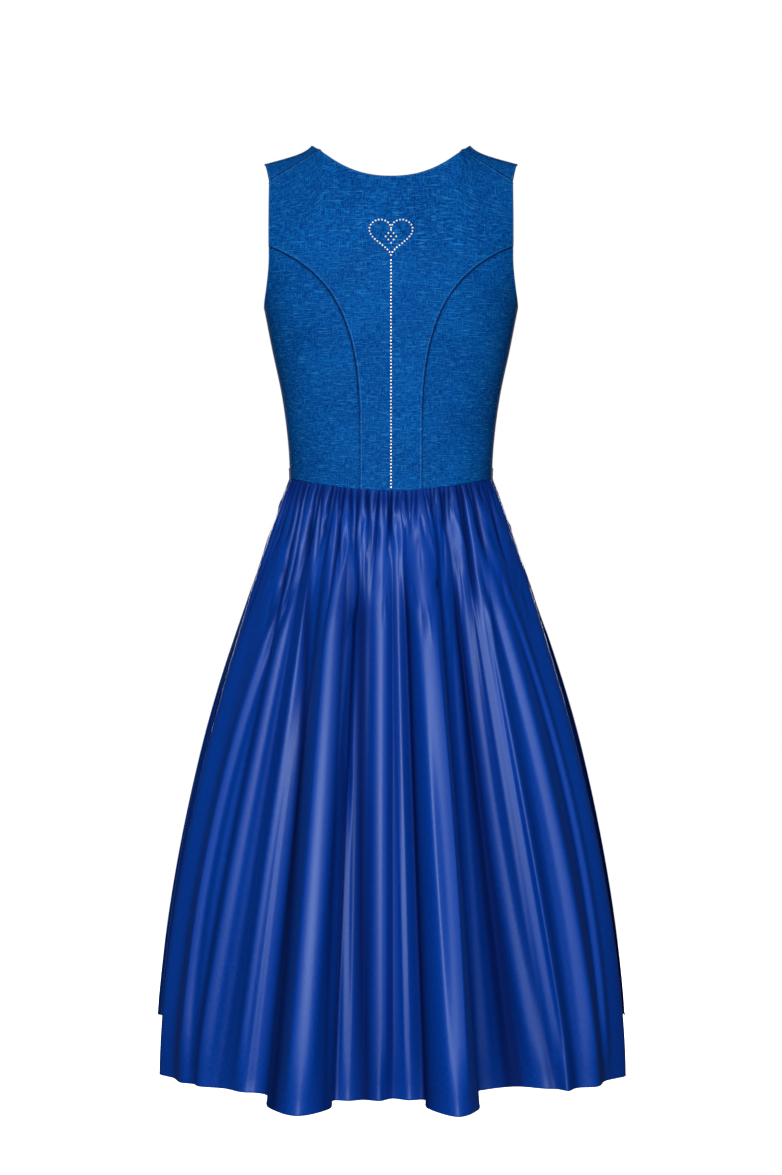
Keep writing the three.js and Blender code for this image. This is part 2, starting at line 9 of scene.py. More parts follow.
import bpy
import numpy as np
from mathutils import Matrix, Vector

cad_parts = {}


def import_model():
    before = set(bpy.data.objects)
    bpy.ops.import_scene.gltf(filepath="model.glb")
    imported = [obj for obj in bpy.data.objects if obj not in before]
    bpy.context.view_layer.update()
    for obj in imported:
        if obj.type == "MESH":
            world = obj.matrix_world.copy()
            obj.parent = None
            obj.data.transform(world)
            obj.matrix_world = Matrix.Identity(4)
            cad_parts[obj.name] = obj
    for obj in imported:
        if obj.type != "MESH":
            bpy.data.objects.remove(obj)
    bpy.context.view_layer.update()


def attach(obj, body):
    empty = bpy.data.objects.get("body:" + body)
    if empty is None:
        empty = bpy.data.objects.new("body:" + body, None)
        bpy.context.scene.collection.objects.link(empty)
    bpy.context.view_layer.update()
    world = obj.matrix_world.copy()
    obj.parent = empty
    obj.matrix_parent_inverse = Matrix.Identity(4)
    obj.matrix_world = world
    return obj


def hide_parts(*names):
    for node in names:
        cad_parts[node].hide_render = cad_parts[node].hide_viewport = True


log = logging.getLogger("dirndl")
Points = np.ndarray

# The shapes are worked out in millimetres, as the part's own tables are, and leave in metres
MM = 0.001
SEED = 7

# Cloth
BODICE_WALL = 1.6
SKIRT_WALL = 1.0
APRON_WALL = 0.9
BAND_WALL = 1.6
LAYER_GAP = 0.6
SEAM_TUCK = 0.15

# Heights
WAIST_SIDE_Z = -393.0
WAIST_DIP = 19.0
UNDERARM_Z = -192.0
BLADE_Z = -130.0
HEM_Z = -1105.0
APRON_HEM_Z = -1041.0
FULL_FALL = HEM_Z - WAIST_SIDE_Z
APRON_FALL = (APRON_HEM_Z - WAIST_SIDE_Z) / FULL_FALL

# Shoulders
OVER_SHOULDER = 137.0
CREST_H = BLADE_Z + OVER_SHOULDER
SHOULDER_ROUNDING = 0.84
NECK_HALF = 93.0
STRAP_END = 150.5
BACK_NECK_DROP = 43.5
FRONT_NECK_DROP = 165.0
SEAM_INNER = (83.0, -8.0)
SEAM_OUTER = (143.4, -46.0)

# Front closing
LAP = 9.0
LAP_LIFT = BODICE_WALL + 1.1
BAND_HALF = 13.0
BAND_END = 84.0
EDGE_FLARE = 9.0

# The general figure: height, half width, depth behind and before the shoulder plane
SQUARENESS = 2.3
FIGURE = np.array(
    [
        (-430, 119, 88, 101),
        (-393, 118.5, 86, 100),
        (-350, 120.8, 87, 103),
        (-296, 128, 92, 112),
        (-243, 139.2, 97, 120),
        (-192, 149.3, 101, 117),
        (-150, 158, 101, 106),
        (-100, 168, 92, 88),
        (-46, 172, 74, 72),
        (0, 172, 60, 60),
    ],
    float,
)
HALF, BACK, FRONT = 1, 2, 3
BUST_X, BUST_Z, BUST_RISE, BUST_ACROSS, BUST_DOWN = 82.0, -248.0, 15.0, 40.0, 50.0

# Folds in order round the skirt from the left side seam over the back: angle at the waist,
# x and y at the hem, height there over the level hem, depth of the trough after the fold
FOLDS = (
    (90, 263, -42, 0, 0),
    (80, 277, -18, -1, 4),
    (63, 247, 44, -1, 5),
    (55, 224, 76, 0, 7),
    (48, 171, 122, 1, 5),
    (43, 143, 134, 0, 0),
    (39, 137, 206, -2, 0),
    (32, 104, 246, -4, 0),
    (24, 69, 214, -2, 0),
    (21, 64, 170, 0, 0),
    (18, 48, 173, 0, 7),
    (7, 13, 174, 0, 14),
    (-3, -20, 169, 0, 0),
    (-7, -37, 166, 0, 0),
    (-11, -41, 210, -2, 0),
    (-19, -75, 246, -5, 0),
    (-28, -98, 212, -3, 0),
    (-32, -98, 108, -1, 0),
    (-36, -117, 98, 1, 14),
    (-45, -178, 98, 1, 5),
    (-52, -204, 108, 0, 8),
    (-61, -240, 78, 0, 7),
    (-80, -280, -5, -1, 0),
    (-90, -265, -36, -2, 0),
    (-100, -275, -66, 0, 12),
    (-114, -240, -122, 0, 15),
    (-128, -192, -166, 0, 18),
    (-142, -143, -204, 0, 16),
    (-155, -92, -222, 0, 20),
    (-168, -46, -238, 0, 15),
    (-180, 2, -229, 0, 18),
    (-193, 49, -236, 0, 20),
    (-206, 96, -226, 0, 15),
    (-219, 144, -200, 0, 18),
    (-232, 191, -168, 0, 16),
    (-246, 238, -124, 0, 13),
    (-260, 276, -68, 0, 10),
)
SIDE_SPREAD = 0.75
DEPTH_SPREAD = 1.5

# Long soft folds down the back: distance from the centre near the top, at
# mid height and at the hem, height of the fold (below 0 for a valley), half width near the
# top and at the hem, and the heights where it comes in and is full
BACK_CREASES = (
    (150, 214, 242, 0.8, 8, 11, -450, -560),
    (133, 178, 217, 0.8, 8, 12, -450, -580),
    (107, 141, 171, 0.8, 6, 7, -440, -540),
    (66, 84, 102, 1.0, 21, 17, -450, -560),
    (48, 51, 51, 0.3, 4, 6, -600, -800),
    (11, 11, 11, 0.8, 12, 17, -430, -540),
    (-8, -12, -18, 0.1, 3, 4, -600, -900),
    (-47, -69, -78, 1.0, 17, 16, -440, -560),
    (-77, -89, -107, 0.4, 6, 10, -440, -540),
    (-92, -124, -168, 0.8, 8, 13, -440, -580),
    (-114, -153, -193, 0.8, 5, 9, -430, -580),
    (-141, -197, -231, 0.8, 9, 12, -430, -560),
    (-162, -224, -250, 0.4, 5, 8, -450, -600),
    (99, 111, 129, -6.5, 6, 11, -440, -560),
    (56, 65, 72, -4.5, 7, 9, -430, -560),
    (34, 33, 30, -6.5, 11, 13, -430, -560),
    (-2, -2, -2, -3.4, 5, 6, -430, -540),
    (-21, -29, -38, -6.0, 7, 10, -430, -560),
    (-83, -109, -137, -10.0, 5, 14, -440, -580),
    (-103, -138, -181, -3.0, 5, 10, -430, -540),
    (-127, -171, -209, -3.0, 5, 10, -430, -540),
    (140, 191, 228, -2.5, 5, 9, -430, -540),
    (120, 156, 192, -3.0, 5, 10, -430, -540),
)
# The same round the front, under and on the apron
FRONT_CREASES = (
    (132, 178, 232, 5.0, 8, 15, -450, -600),
    (104, 140, 182, 4.0, 7, 13, -470, -620),
    (66, 88, 118, 5.5, 9, 16, -450, -580),
    (30, 40, 52, 4.5, 8, 14, -460, -600),
    (-4, -6, -8, 5.0, 9, 17, -470, -620),
    (-40, -50, -64, 4.0, 8, 13, -450, -580),
    (-72, -98, -128, 5.5, 8, 16, -460, -600),
    (-112, -146, -196, 4.5, 7, 14, -450, -620),
    (-140, -188, -244, 5.0, 8, 15, -470, -600),
    (118, 160, 208, -5.5, 6, 12, -470, -620),
    (84, 113, 150, -6.0, 7, 12, -450, -600),
    (48, 62, 84, -5.0, 6, 11, -480, -620),
    (12, 16, 22, -4.5, 6, 10, -460, -600),
    (-22, -28, -36, -6.0, 6, 11, -450, -580),
    (-56, -74, -96, -5.0, 7, 12, -470, -620),
    (-92, -122, -162, -6.5, 7, 13, -460, -600),
    (-126, -168, -220, -4.5, 6, 12, -480, -640),
)

# The share of the form's own roundness that a fold's broad top takes away
FLATNESS = 0.85

# Buttons, stones and stitches
BUTTON_COUNT = 7
BUTTON_TOP = -184.0
BUTTON_PITCH = 32.0
BUTTON_RADIUS = 7.0
BUTTON_HEIGHT = 3.4
STONE_PITCH = 3.85
STONE_RADIUS = 1.1
STONE_LINE_TOP = -146.0
STITCH_INSET = 2.4


class Side(Enum):
    """The half of the figure that a surface lies on."""

    BEHIND = 1
    BEFORE = -1


class Hand(Enum):
    """The wearer's side that a panel belongs to."""

    LEFT = 1
    RIGHT = -1


def lerp(a: float | Points, b: float | Points, t: float | Points) -> float | Points:
    """Returns the value at share t between a and b."""
    return a + (b - a) * t


def smooth(value: float | Points, low: float, high: float) -> float | Points:
    """Returns a soft step from 0 at low to 1 at high."""
    t = np.clip((np.asarray(value, float) - low) / (high - low), 0, 1)
    return t * t * (3 - 2 * t)


def unit(vectors: Points) -> Points:
    """Returns the vectors with their length made 1."""
    return vectors / np.maximum(np.linalg.norm(vectors, axis=-1, keepdims=True), 1e-12)


def cubic(a: Points, b: Points, c: Points, d: Points, t: Points) -> Points:
    """Returns points of the cubic curve with those four handles.

    Args:
        a, b, c, d: the handles, each an (x, z) pair.
        t: shares along the curve.

    Returns:
        An array of one (x, z) row for each share.
    """
    t = np.asarray(t, float)[:, None]
    s = 1 - t
    handles = [np.asarray(h, float) for h in (a, b, c, d)]
    return s**3 * handles[0] + 3 * s**2 * t * handles[1] + 3 * s * t**2 * handles[2] + t**3 * handles[3]


class Figure:
    """The general figure that the bodice is cut for."""

    @staticmethod
    def between(z: Points, column: int) -> Points:
        """Returns a column of the figure's table at any height, on a smooth curve."""
        heights, values = FIGURE[:, 0], FIGURE[:, column]
        z = np.asarray(z, float)
        last = len(heights) - 1
        low, high = np.maximum(np.arange(last + 1) - 1, 0), np.minimum(np.arange(last + 1) + 1, last)
        slopes = (values[high] - values[low]) / (heights[high] - heights[low])
        i = np.clip(np.searchsorted(heights, z, side="right") - 1, 0, last - 1)
        span = heights[i + 1] - heights[i]
        t = np.clip((z - heights[i]) / span, 0, 1)
        rise = t * (1 - t) ** 2 * slopes[i] - t * t * (1 - t) * slopes[i + 1]
        return lerp(values[i], values[i + 1], t * t * (3 - 2 * t)) + rise * span

    @staticmethod
    def crest(x: Points) -> Points:
        """Returns the height of the top of the shoulder at a distance from the centre."""
        out = np.maximum(np.abs(x), NECK_HALF - 14)
        return -14 - 0.26 * (out - 118) + 7.5 * np.exp((NECK_HALF - out) / 9)

    @staticmethod
    def bust(x: Points, z: Points, before: Points) -> Points:
        """Returns how far the front stands out where a bodice is cut fuller."""
        across = (np.abs(x) - BUST_X) / BUST_ACROSS
        down = (z - BUST_Z) / BUST_DOWN
        return np.where(before, BUST_RISE * np.exp(-across * across - down * down), 0)

    @classmethod
    def rounding(cls, x: Points, z: Points) -> Points:
        """Returns the share of the full depth that is left at a distance from the centre."""
        share = np.minimum(np.abs(x) / cls.between(z, HALF), 1)
        return (1 - share**SQUARENESS) ** (1 / SQUARENESS)

    @classmethod
    def depth(cls, x: Points, z: Points, before: Points) -> Points:
        """Returns how far the cloth lies from the shoulder plane."""
        deep = np.where(before, cls.between(z, FRONT), cls.between(z, BACK))
        return cls.rounding(x, z) * (deep + cls.bust(x, z, before))

    @classmethod
    def over_shoulder(cls, x: Points, h: Points, side: Side) -> Points:
        """Returns points by distance from the centre and length of cloth up from the waist.

        Args:
            x: distance from the centre.
            h: length of cloth, which turns over the shoulder above blade height.
            side: the side that the cloth comes up on.

        Returns:
            The points, with x, y and z last.
        """
        turn = np.maximum(h - BLADE_Z, 0) / OVER_SHOULDER * math.pi / 2
        z = np.where(h < BLADE_Z, h, BLADE_Z + (cls.crest(x) - BLADE_Z) * np.sin(turn))
        face = np.where(np.cos(turn) < 0, -side.value, side.value)
        out = np.abs(np.cos(turn)) ** SHOULDER_ROUNDING
        return np.stack([x + 0 * z, face * out * cls.depth(x, z, face < 0), z], axis=-1)

    @classmethod
    def cloth_length(cls, x: Points, z: Points, past: bool = False) -> Points:
        """Returns the length of cloth up to a height, on the near side or past the top."""
        turn = np.arcsin(np.clip((z - BLADE_Z) / (cls.crest(x) - BLADE_Z), 0, 1))
        turn = math.pi - turn if past else turn
        return np.where(z <= BLADE_Z, z, BLADE_Z + OVER_SHOULDER * turn / (math.pi / 2))

    @classmethod
    def round_body(cls, angle: Points, z: Points) -> Points:
        """Returns points by angle from centre back and height."""
        before = np.cos(angle) < 0
        deep = np.where(before, cls.between(z, FRONT), cls.between(z, BACK))
        across = np.abs(np.sin(angle) / cls.between(z, HALF)) ** SQUARENESS
        along = np.abs(np.cos(angle) / deep) ** SQUARENESS
        radius = (across + along) ** (-1 / SQUARENESS)
        x = radius * np.sin(angle)
        turn = np.minimum(np.maximum(z - BLADE_Z, 0) / (cls.crest(x) - BLADE_Z), 1)
        more = np.where(before, -1, 1) * cls.rounding(x, z) * cls.bust(x, z, before)
        y = (radius * np.cos(angle) + more) * (1 - turn * turn) ** (SHOULDER_ROUNDING / 2)
        return np.stack([x, y, z + 0 * x], axis=-1)

    @classmethod
    def angle_at(cls, x: Points, z: Points, side: Side) -> Points:
        """Returns the angle from centre back at which the figure is seen at x."""
        deep = cls.between(z, BACK if side is Side.BEHIND else FRONT)
        return np.arctan2(x, side.value * deep * cls.rounding(x, z))

    @staticmethod
    def waist(angle: Points) -> Points:
        """Returns the waist seam's height, lowest at centre back and centre front."""
        return WAIST_SIDE_Z - WAIST_DIP * np.abs(np.cos(angle)) ** 1.3

    @classmethod
    def waist_at(cls, x: Points, side: Side) -> Points:
        """Returns the waist seam's height at a distance from the centre."""
        level = np.full(np.shape(x), WAIST_SIDE_Z - WAIST_DIP / 2)
        return cls.waist(cls.angle_at(np.asarray(x, float), level, side))


class Seams:
    """The seam and edge lines of the left half of the bodice, from the bottom up."""

    BACK_HALF = 36.0
    FRONT_HALF = 40.0
    BACK_ARMHOLE = (142.7, -124.0)
    FRONT_ARMHOLE = (137.0, -128.0)
    # Where the back seam leaves the straight, as a share of the seam and as a height
    BEND_SHARE = 0.3
    BEND_Z = -330.0
    # The handles between the ends of the two curved seams
    BACK_HANDLES = ((BACK_HALF, -203.0), (75.0, -157.0))
    FRONT_HANDLES = ((70.0, -320.0), (82.0, -190.0))

    @classmethod
    def back_princess(cls, t: Points) -> Points:
        """Returns (x, z) along the back princess seam."""
        foot = Figure.waist_at(cls.BACK_HALF, Side.BEHIND)
        t = np.asarray(t, float)
        upper = np.clip((t - cls.BEND_SHARE) / (1 - cls.BEND_SHARE), 0, 1)
        curve = cubic((cls.BACK_HALF, cls.BEND_Z), *cls.BACK_HANDLES, cls.BACK_ARMHOLE, upper)
        across = np.full(t.shape, cls.BACK_HALF)
        straight = np.stack([across, lerp(foot, cls.BEND_Z, t / cls.BEND_SHARE)], axis=-1)
        return np.where((t < cls.BEND_SHARE)[:, None], straight, curve)

    @classmethod
    def front_princess(cls, t: Points) -> Points:
        """Returns (x, z) along the front princess seam."""
        foot = (cls.FRONT_HALF, float(Figure.waist_at(cls.FRONT_HALF, Side.BEFORE)))
        return cubic(foot, *cls.FRONT_HANDLES, cls.FRONT_ARMHOLE, t)

    @staticmethod
    def shoulder(s: Points) -> Points:
        """Returns (x, z) along the set-back shoulder seam, from the neck outwards."""
        s = np.asarray(s, float)
        return np.stack([lerp(inner, outer, s) for inner, outer in zip(SEAM_INNER, SEAM_OUTER)], axis=-1)

    @staticmethod
    def back_neck(x: Points) -> Points:
        """Returns the height of the back neckline."""
        return -BACK_NECK_DROP * (1 - (np.abs(x) / NECK_HALF) ** 2.25)

    @staticmethod
    def front_neck(t: Points) -> Points:
        """Returns x and length of cloth along the front neckline, from the lap upwards."""
        angle = lerp(-math.asin((LAP / NECK_HALF) ** 1.3), math.pi / 2, np.asarray(t, float))
        power = 2 / 2.6
        x = NECK_HALF * np.sign(angle) * np.abs(np.sin(angle)) ** power
        h = CREST_H - (CREST_H + FRONT_NECK_DROP) * np.abs(np.cos(angle)) ** power
        return np.stack([x, h], axis=-1)


def coons(bottom: Points, top: Points, left: Points, right: Points, s: Points, t: Points) -> Points:
    """Fills a flat grid between four edge curves.

    Args:
        bottom, top: edge points at the shares s.
        left, right: edge points at the shares t.
        s: shares across.
        t: shares up.

    Returns:
        An array of rows by columns by 2.
    """
    s, t = s[None, :, None], t[:, None, None]
    flat = lerp(bottom[None], top[None], t) + lerp(left[:, None], right[:, None], s)
    corners = lerp(lerp(bottom[0], bottom[-1], s), lerp(top[0], top[-1], s), t)
    return flat - corners


def shares(count: int, close: Sequence[float] = ()) -> Points:
    """Returns even shares from 0 to 1, with closer ones near both ends.

    Args:
        count: the number of even steps.
        close: extra shares near 0, mirrored near 1.

    Returns:
        The sorted shares.
    """
    extra = [*close, *(1 - c for c in close)]
    even = np.arange(count + 1) / count
    far = even[[min(abs(e - x) for x in extra) > 0.2 / count if extra else True for e in even]]
    keep = np.union1d(even[[0, -1]], far)
    return np.unique(np.round(np.concatenate([keep, extra]), 6))


def normals_of(points: Points, outward: Callable[[Points], Points]) -> Points:
    """Returns the outward normals of a grid of points.

    Args:
        points: rows by columns by 3.
        outward: gives a rough outward direction at each point.

    Returns:
        The unit normals, in the same order.
    """
    normal = unit(np.cross(np.gradient(points, axis=1), np.gradient(points, axis=0)))
    sign = np.sign(np.sum(normal * outward(points), axis=-1, keepdims=True))
    return normal * np.where(sign == 0, 1, sign)


def along(points: Points, axis: int) -> Points:
    """Returns the length of cloth from the first row or column to each point."""
    steps = np.linalg.norm(np.diff(points, axis=axis), axis=-1)
    start = np.zeros_like(np.take(steps, [0], axis=axis))
    return np.concatenate([start, np.cumsum(steps, axis=axis)], axis=axis)


class Edge(Enum):
    """How an edge of a panel is finished."""

    OVER = "sewn, turned under along the seam"
    UNDER = "sewn, going in under the next panel"
    TURNED = "a free edge, turned in"
    HELD = "held under something else"


@dataclass
class Cloth:
    """A piece of cloth with real thickness, made from a grid of points on its surface."""

    # A tucked-in seam: how deep it dips, and how far in from the edge the dip and its painted shadow reach
    DIP, DIP_REACH, SHADE_REACH = 1.15, 1.8, 1.9
    # How far in an edge rolls over: a turned one as a share of its thickness, a sewn one as a length
    TURNED_ROLL, SEWN_ROLL = 0.62, 0.8
    # The welt beside a seam: its place and width, and the width of the dent that the stitches make
    WELT_PLACE, WELT_WIDTH, DENT_WIDTH = 1.3, 0.8, 0.5

    name: str
    points: Points
    normals: Points
    low: float
    high: float
    grain: Points
    left: Edge = Edge.OVER
    right: Edge = Edge.OVER
    bottom: Edge = Edge.OVER
    top: Edge = Edge.OVER
    welt: float = 0.25
    # The painted shade in the valleys and puckers, from 0 to 1, or None
    deep: Points | None = None

    def _distances(self) -> list[tuple[Points, Edge]]:
        """Returns the cloth length from each edge to every point, with the edge's finish."""
        across, up = along(self.points, 1), along(self.points, 0)
        return [
            (across, self.left),
            (across[:, -1:] - across, self.right),
            (up, self.bottom),
            (up[-1:] - up, self.top),
        ]

    def _offsets(self) -> tuple[Points, Points, Points]:
        """Returns how far both faces stand from the surface, and how much painted shadow a seam puts beside
        it.
        """
        thick = self.high - self.low
        shape = self.points.shape[:2]
        dip, roll, welt, dark = np.zeros(shape), np.ones(shape), np.zeros(shape), np.zeros(shape)
        for distance, edge in self._distances():
            if edge is Edge.HELD:
                continue
            if edge is Edge.UNDER:
                dip = np.maximum(dip, self.DIP * np.exp(-((distance / self.DIP_REACH) ** 2)))
                # Painted shadow: the cloth beside a seam that goes under the next panel is darkened as if
                # that panel's edge shaded it
                dark = np.maximum(dark, np.exp(-((distance / self.SHADE_REACH) ** 2)))
                continue
            reach = self.TURNED_ROLL * thick if edge is Edge.TURNED else self.SEWN_ROLL
            near = 1 - np.clip(distance / reach, 0, 1)
            arc = np.sqrt(1 - near**2)
            roll = np.minimum(roll, arc if edge is Edge.TURNED else 0.4 + 0.6 * arc)
            hump = np.exp(-(((distance - self.WELT_PLACE) / self.WELT_WIDTH) ** 2))
            hump -= np.exp(-(((distance - STITCH_INSET) / self.DENT_WIDTH) ** 2))
            welt = np.where(np.abs(hump) > np.abs(welt), hump, welt)
        middle = (self.high + self.low) / 2
        outer = middle + thick / 2 * roll - dip * np.minimum(1, roll) + self.welt * welt
        return middle - thick / 2 * roll, outer, dark

    def line(self, edge: str, inset: float, start: float = 0.0, end: float = 1.0) -> Points:
        """Returns a line on the outer face that runs beside an edge.

        Args:
            edge: left, right, bottom or top.
            inset: the length of cloth from the edge to the line.
            start, end: the shares of the edge between which the line runs.

        Returns:
            The line's points, in millimetres.
        """
        _, outer, _ = self._offsets()
        face = self.points + self.normals * outer[..., None]
        if edge in ("bottom", "top"):
            face = np.swapaxes(face, 0, 1)
        if edge in ("right", "top"):
            face = face[:, ::-1]
        lengths = along(face, 1)
        count = face.shape[0]
        rows = slice(round(start * (count - 1)), round(end * (count - 1)) + 1)
        made = [
            [np.interp(inset, length, row[:, k]) for k in range(3)]
            for length, row in zip(lengths[rows], face[rows])
        ]
        return np.array(made)

    def build(self) -> bpy.types.Object:
        """Makes the mesh object, with its grain as a UV map, and the painted shadow beside its seams and the
        painted shade in its valleys as attributes.
        """
        inner, outer, dark = self._offsets()
        rows, columns = self.points.shape[:2]
        faces = [self.points + self.normals * offset[..., None] for offset in (inner, outer)]
        vertices = np.concatenate([f.reshape(-1, 3) for f in faces]) * MM
        near = np.arange(rows * columns).reshape(rows, columns)
        far = near + rows * columns

        def quads(a: Points, b: Points, c: Points, d: Points) -> Points:
            return np.stack([a.ravel(), b.ravel(), c.ravel(), d.ravel()], axis=1)

        shell = [
            quads(far[:-1, :-1], far[:-1, 1:], far[1:, 1:], far[1:, :-1]),
            quads(near[:-1, :-1], near[1:, :-1], near[1:, 1:], near[:-1, 1:]),
            quads(near[:-1, 0], far[:-1, 0], far[1:, 0], near[1:, 0]),
            quads(near[:-1, -1], near[1:, -1], far[1:, -1], far[:-1, -1]),
            quads(near[0, :-1], near[0, 1:], far[0, 1:], far[0, :-1]),
            quads(near[-1, :-1], far[-1, :-1], far[-1, 1:], near[-1, 1:]),
        ]
        polygons = np.concatenate(shell)
        a, b, c = (vertices[far[k]] for k in ((0, 0), (0, 1), (1, 0)))
        if np.dot(np.cross(b - a, c - a), self.normals[0, 0]) < 0:
            polygons = polygons[:, ::-1]
        uv = np.tile(self.grain.reshape(-1, 2), (2, 1)) * MM
        made = mesh_object(self.name, vertices, polygons, uv)
        # Both attributes hold painted shade: the shadow beside seams, and the shade in valleys and puckers
        for name, values in (("seam", dark), ("valley", dark * 0 if self.deep is None else self.deep)):
            layer = made.data.attributes.new(name, "FLOAT", "POINT")
            layer.data.foreach_set("value", np.tile(values.ravel(), 2).astype(np.float32))
        return made


def in_scene(name: str, data: bpy.types.ID) -> bpy.types.Object:
    """Returns a new object that holds this data, linked to the scene."""
    made = bpy.data.objects.new(name, data)
    bpy.context.scene.collection.objects.link(made)
    return made


def mesh_object(
    name: str, vertices: Points, polygons: Points, uv: Points | None = None
) -> bpy.types.Object:
    """Makes a smooth-shaded object from arrays.

    Args:
        name: the object's name.
        vertices: rows of x, y and z in metres.
        polygons: rows of vertex numbers, all of one length.
        uv: a pair for each vertex, or None.

    Returns:
        The new object, linked to the scene.
    """
    mesh = bpy.data.meshes.new(name)
    count, corners = polygons.shape
    mesh.vertices.add(len(vertices))
    mesh.vertices.foreach_set("co", vertices.astype(np.float32).ravel())
    mesh.loops.add(count * corners)
    mesh.loops.foreach_set("vertex_index", polygons.astype(np.int32).ravel())
    mesh.polygons.add(count)
    mesh.polygons.foreach_set("loop_start", np.arange(count, dtype=np.int32) * corners)
    mesh.polygons.foreach_set("use_smooth", np.ones(count, bool))
    if uv is not None:
        layer = mesh.uv_layers.new(name="cloth")
        layer.data.foreach_set("uv", uv[polygons.ravel()].astype(np.float32).ravel())
    mesh.update(calc_edges=True)
    mesh.validate()
    return in_scene(name, mesh)


class Socket:
    """A shader socket that can be used in Python expressions."""

    def __init__(self, finish: "Nodes", link: bpy.types.NodeSocket) -> None:
        """Keeps the node tree's maker and the socket."""
        self.finish = finish
        self.link = link

    def _math(self, operation: str, *values: "Socket | float") -> "Socket":
        """Returns the result of a Math node on these values."""
        return self.finish.node("ShaderNodeMath", {"operation": operation}, dict(enumerate(values)))

    def __add__(self, other: "Socket | float") -> "Socket":
        """Adds."""
        return self._math("ADD", self, other)

    def __sub__(self, other: "Socket | float") -> "Socket":
        """Subtracts."""
        return self._math("SUBTRACT", self, other)

    def __mul__(self, other: "Socket | float") -> "Socket":
        """Multiplies."""
        return self._math("MULTIPLY", self, other)

    def clamp(self) -> "Socket":
        """Returns the value held between 0 and 1."""
        return self.finish.node("ShaderNodeClamp", {}, {0: self})


class Nodes:
    """A material's node tree, and the short ways to add to it."""

    def __init__(self, name: str) -> None:
        """Starts an empty material."""
        self.material = bpy.data.materials.new(name)
        self.material.use_nodes = True
        self.tree = self.material.node_tree
        self.tree.nodes.clear()

    def node(self, kind: str, settings: dict, values: dict, output: int | str = 0) -> Socket:
        """Adds a node.

        Args:
            kind: the node's type.
            settings: its properties, set first.
            values: numbers, colours or sockets for its inputs, by place or name.
            output: which output to return.

        Returns:
            The chosen output.
        """
        made = self.tree.nodes.new(kind)
        for key, value in settings.items():
            setattr(made, key, value)
        for key, value in values.items():
            if isinstance(value, Socket):
                self.tree.links.new(value.link, made.inputs[key])
            else:
                made.inputs[key].default_value = value
        return Socket(self, made.outputs[output])

    def noise(self, place: Socket, scale: tuple[float, float, float], detail: float = 2.0) -> Socket:
        """Returns noise from 0 to 1, stretched by a scale for each direction."""
        stretched = self.node("ShaderNodeMapping", {}, {"Vector": place, "Scale": scale})
        values = {"Vector": stretched, "Scale": 1.0, "Detail": detail}
        return self.node("ShaderNodeTexNoise", {"noise_dimensions": "3D"}, values)

    def ramp(self, value: Socket, low: float, high: float) -> Socket:
        """Returns the value stretched from low..high to 0..1, softly."""
        settings = {"interpolation_type": "SMOOTHSTEP"}
        return self.node("ShaderNodeMapRange", settings, {0: value, 1: low, 2: high, 3: 0.0, 4: 1.0})

    def mix(self, factor: Socket, a: Sequence[float] | Socket, b: Sequence[float] | Socket) -> Socket:
        """Returns a colour between a and b."""
        settings = {"data_type": "RGBA"}
        return self.node("ShaderNodeMix", settings, {0: factor, 6: a, 7: b}, 2)

    def bump(self, height: Socket, distance: float, strength: float) -> Socket:
        """Returns a normal from a height."""
        values = {"Height": height, "Distance": distance, "Strength": strength}
        return self.node("ShaderNodeBump", {}, values)

    def surface(
        self, values: dict, dull: dict | None = None, share: Socket | None = None
    ) -> bpy.types.Material:
        """Ends the tree in a Principled shader and returns the material.

        Args:
            values: the shader's inputs.
            dull: the inputs of a second shader that takes over in part, or None.
            share: how much of the second shader shows.

        Returns:
            The finished material.
        """
        shader = self.node("ShaderNodeBsdfPrincipled", {}, values)
        if dull:
            other = self.node("ShaderNodeBsdfPrincipled", {}, dull)
            shader = self.node("ShaderNodeMixShader", {}, {0: share, 1: shader, 2: other})
        out = self.tree.nodes.new("ShaderNodeOutputMaterial")
        self.tree.links.new(shader.link, out.inputs["Surface"])
        return self.material


Colour = tuple[float, float, float, float]


def colour(red: int, green: int, blue: int) -> Colour:
    """Returns a display colour of 0 to 255 as the linear one that shaders use."""
    values = [c / 255 for c in (red, green, blue)]
    linear = [c / 12.92 if c <= 0.04045 else ((c + 0.055) / 1.055) ** 2.4 for c in values]
    return (*linear, 1.0)


@dataclass(frozen=True)
class Linen:
    """The bodice's slubbed plain weave."""

    name: str = "bodice_linen"
    light: Colour = colour(54, 172, 246)
    middle: Colour = colour(8, 114, 206)
    dark: Colour = colour(0, 54, 128)
    # The colour of the painted shadow beside the seams
    seam: Colour = colour(0, 16, 52)

    def make(self) -> bpy.types.Material:
        """Builds the material."""
        nodes = Nodes(self.name)
        place = nodes.node("ShaderNodeUVMap", {"uv_map": "cloth"}, {})
        weft = nodes.noise(place, (170, 900, 1), 2.0)
        warp = nodes.noise(place, (900, 190, 1), 2.0)
        grain = nodes.noise(place, (1100, 1400, 1), 1.0)
        slub = nodes.ramp(nodes.noise(place, (70, 800, 1), 0.0), 0.62, 0.76)
        fleck = nodes.ramp(nodes.noise(place, (800, 90, 1), 0.0), 0.66, 0.78)
        patch = nodes.noise(place, (16, 20, 1), 1.0)
        tone = weft * 0.42 + warp * 0.30 + grain * 0.56 + patch * 0.10 - 0.19
        base = nodes.mix(nodes.ramp(tone, 0.40, 0.64), self.dark, self.middle)
        base = nodes.mix((slub + fleck * 0.7).clamp() * 0.30, base, self.light)
        # Painted shadow beside the seams, weaker towards the waist
        seam = nodes.node("ShaderNodeAttribute", {"attribute_name": "seam"}, {}, "Fac")
        height_up = nodes.node("ShaderNodeSeparateXYZ", {}, {0: place}, 1)
        base = nodes.mix(seam * (nodes.ramp(height_up, -0.37, -0.27) * 0.6 + 0.4), base, self.seam)
        height = weft * 0.5 + warp * 0.4 + slub * 0.5 + grain * 0.3
        return nodes.surface(
            {
                "Base Color": base,
                "Roughness": 0.8,
                "Specular IOR Level": 0.06,
                "Normal": nodes.bump(height, 0.0004, 0.5),
            }
        )


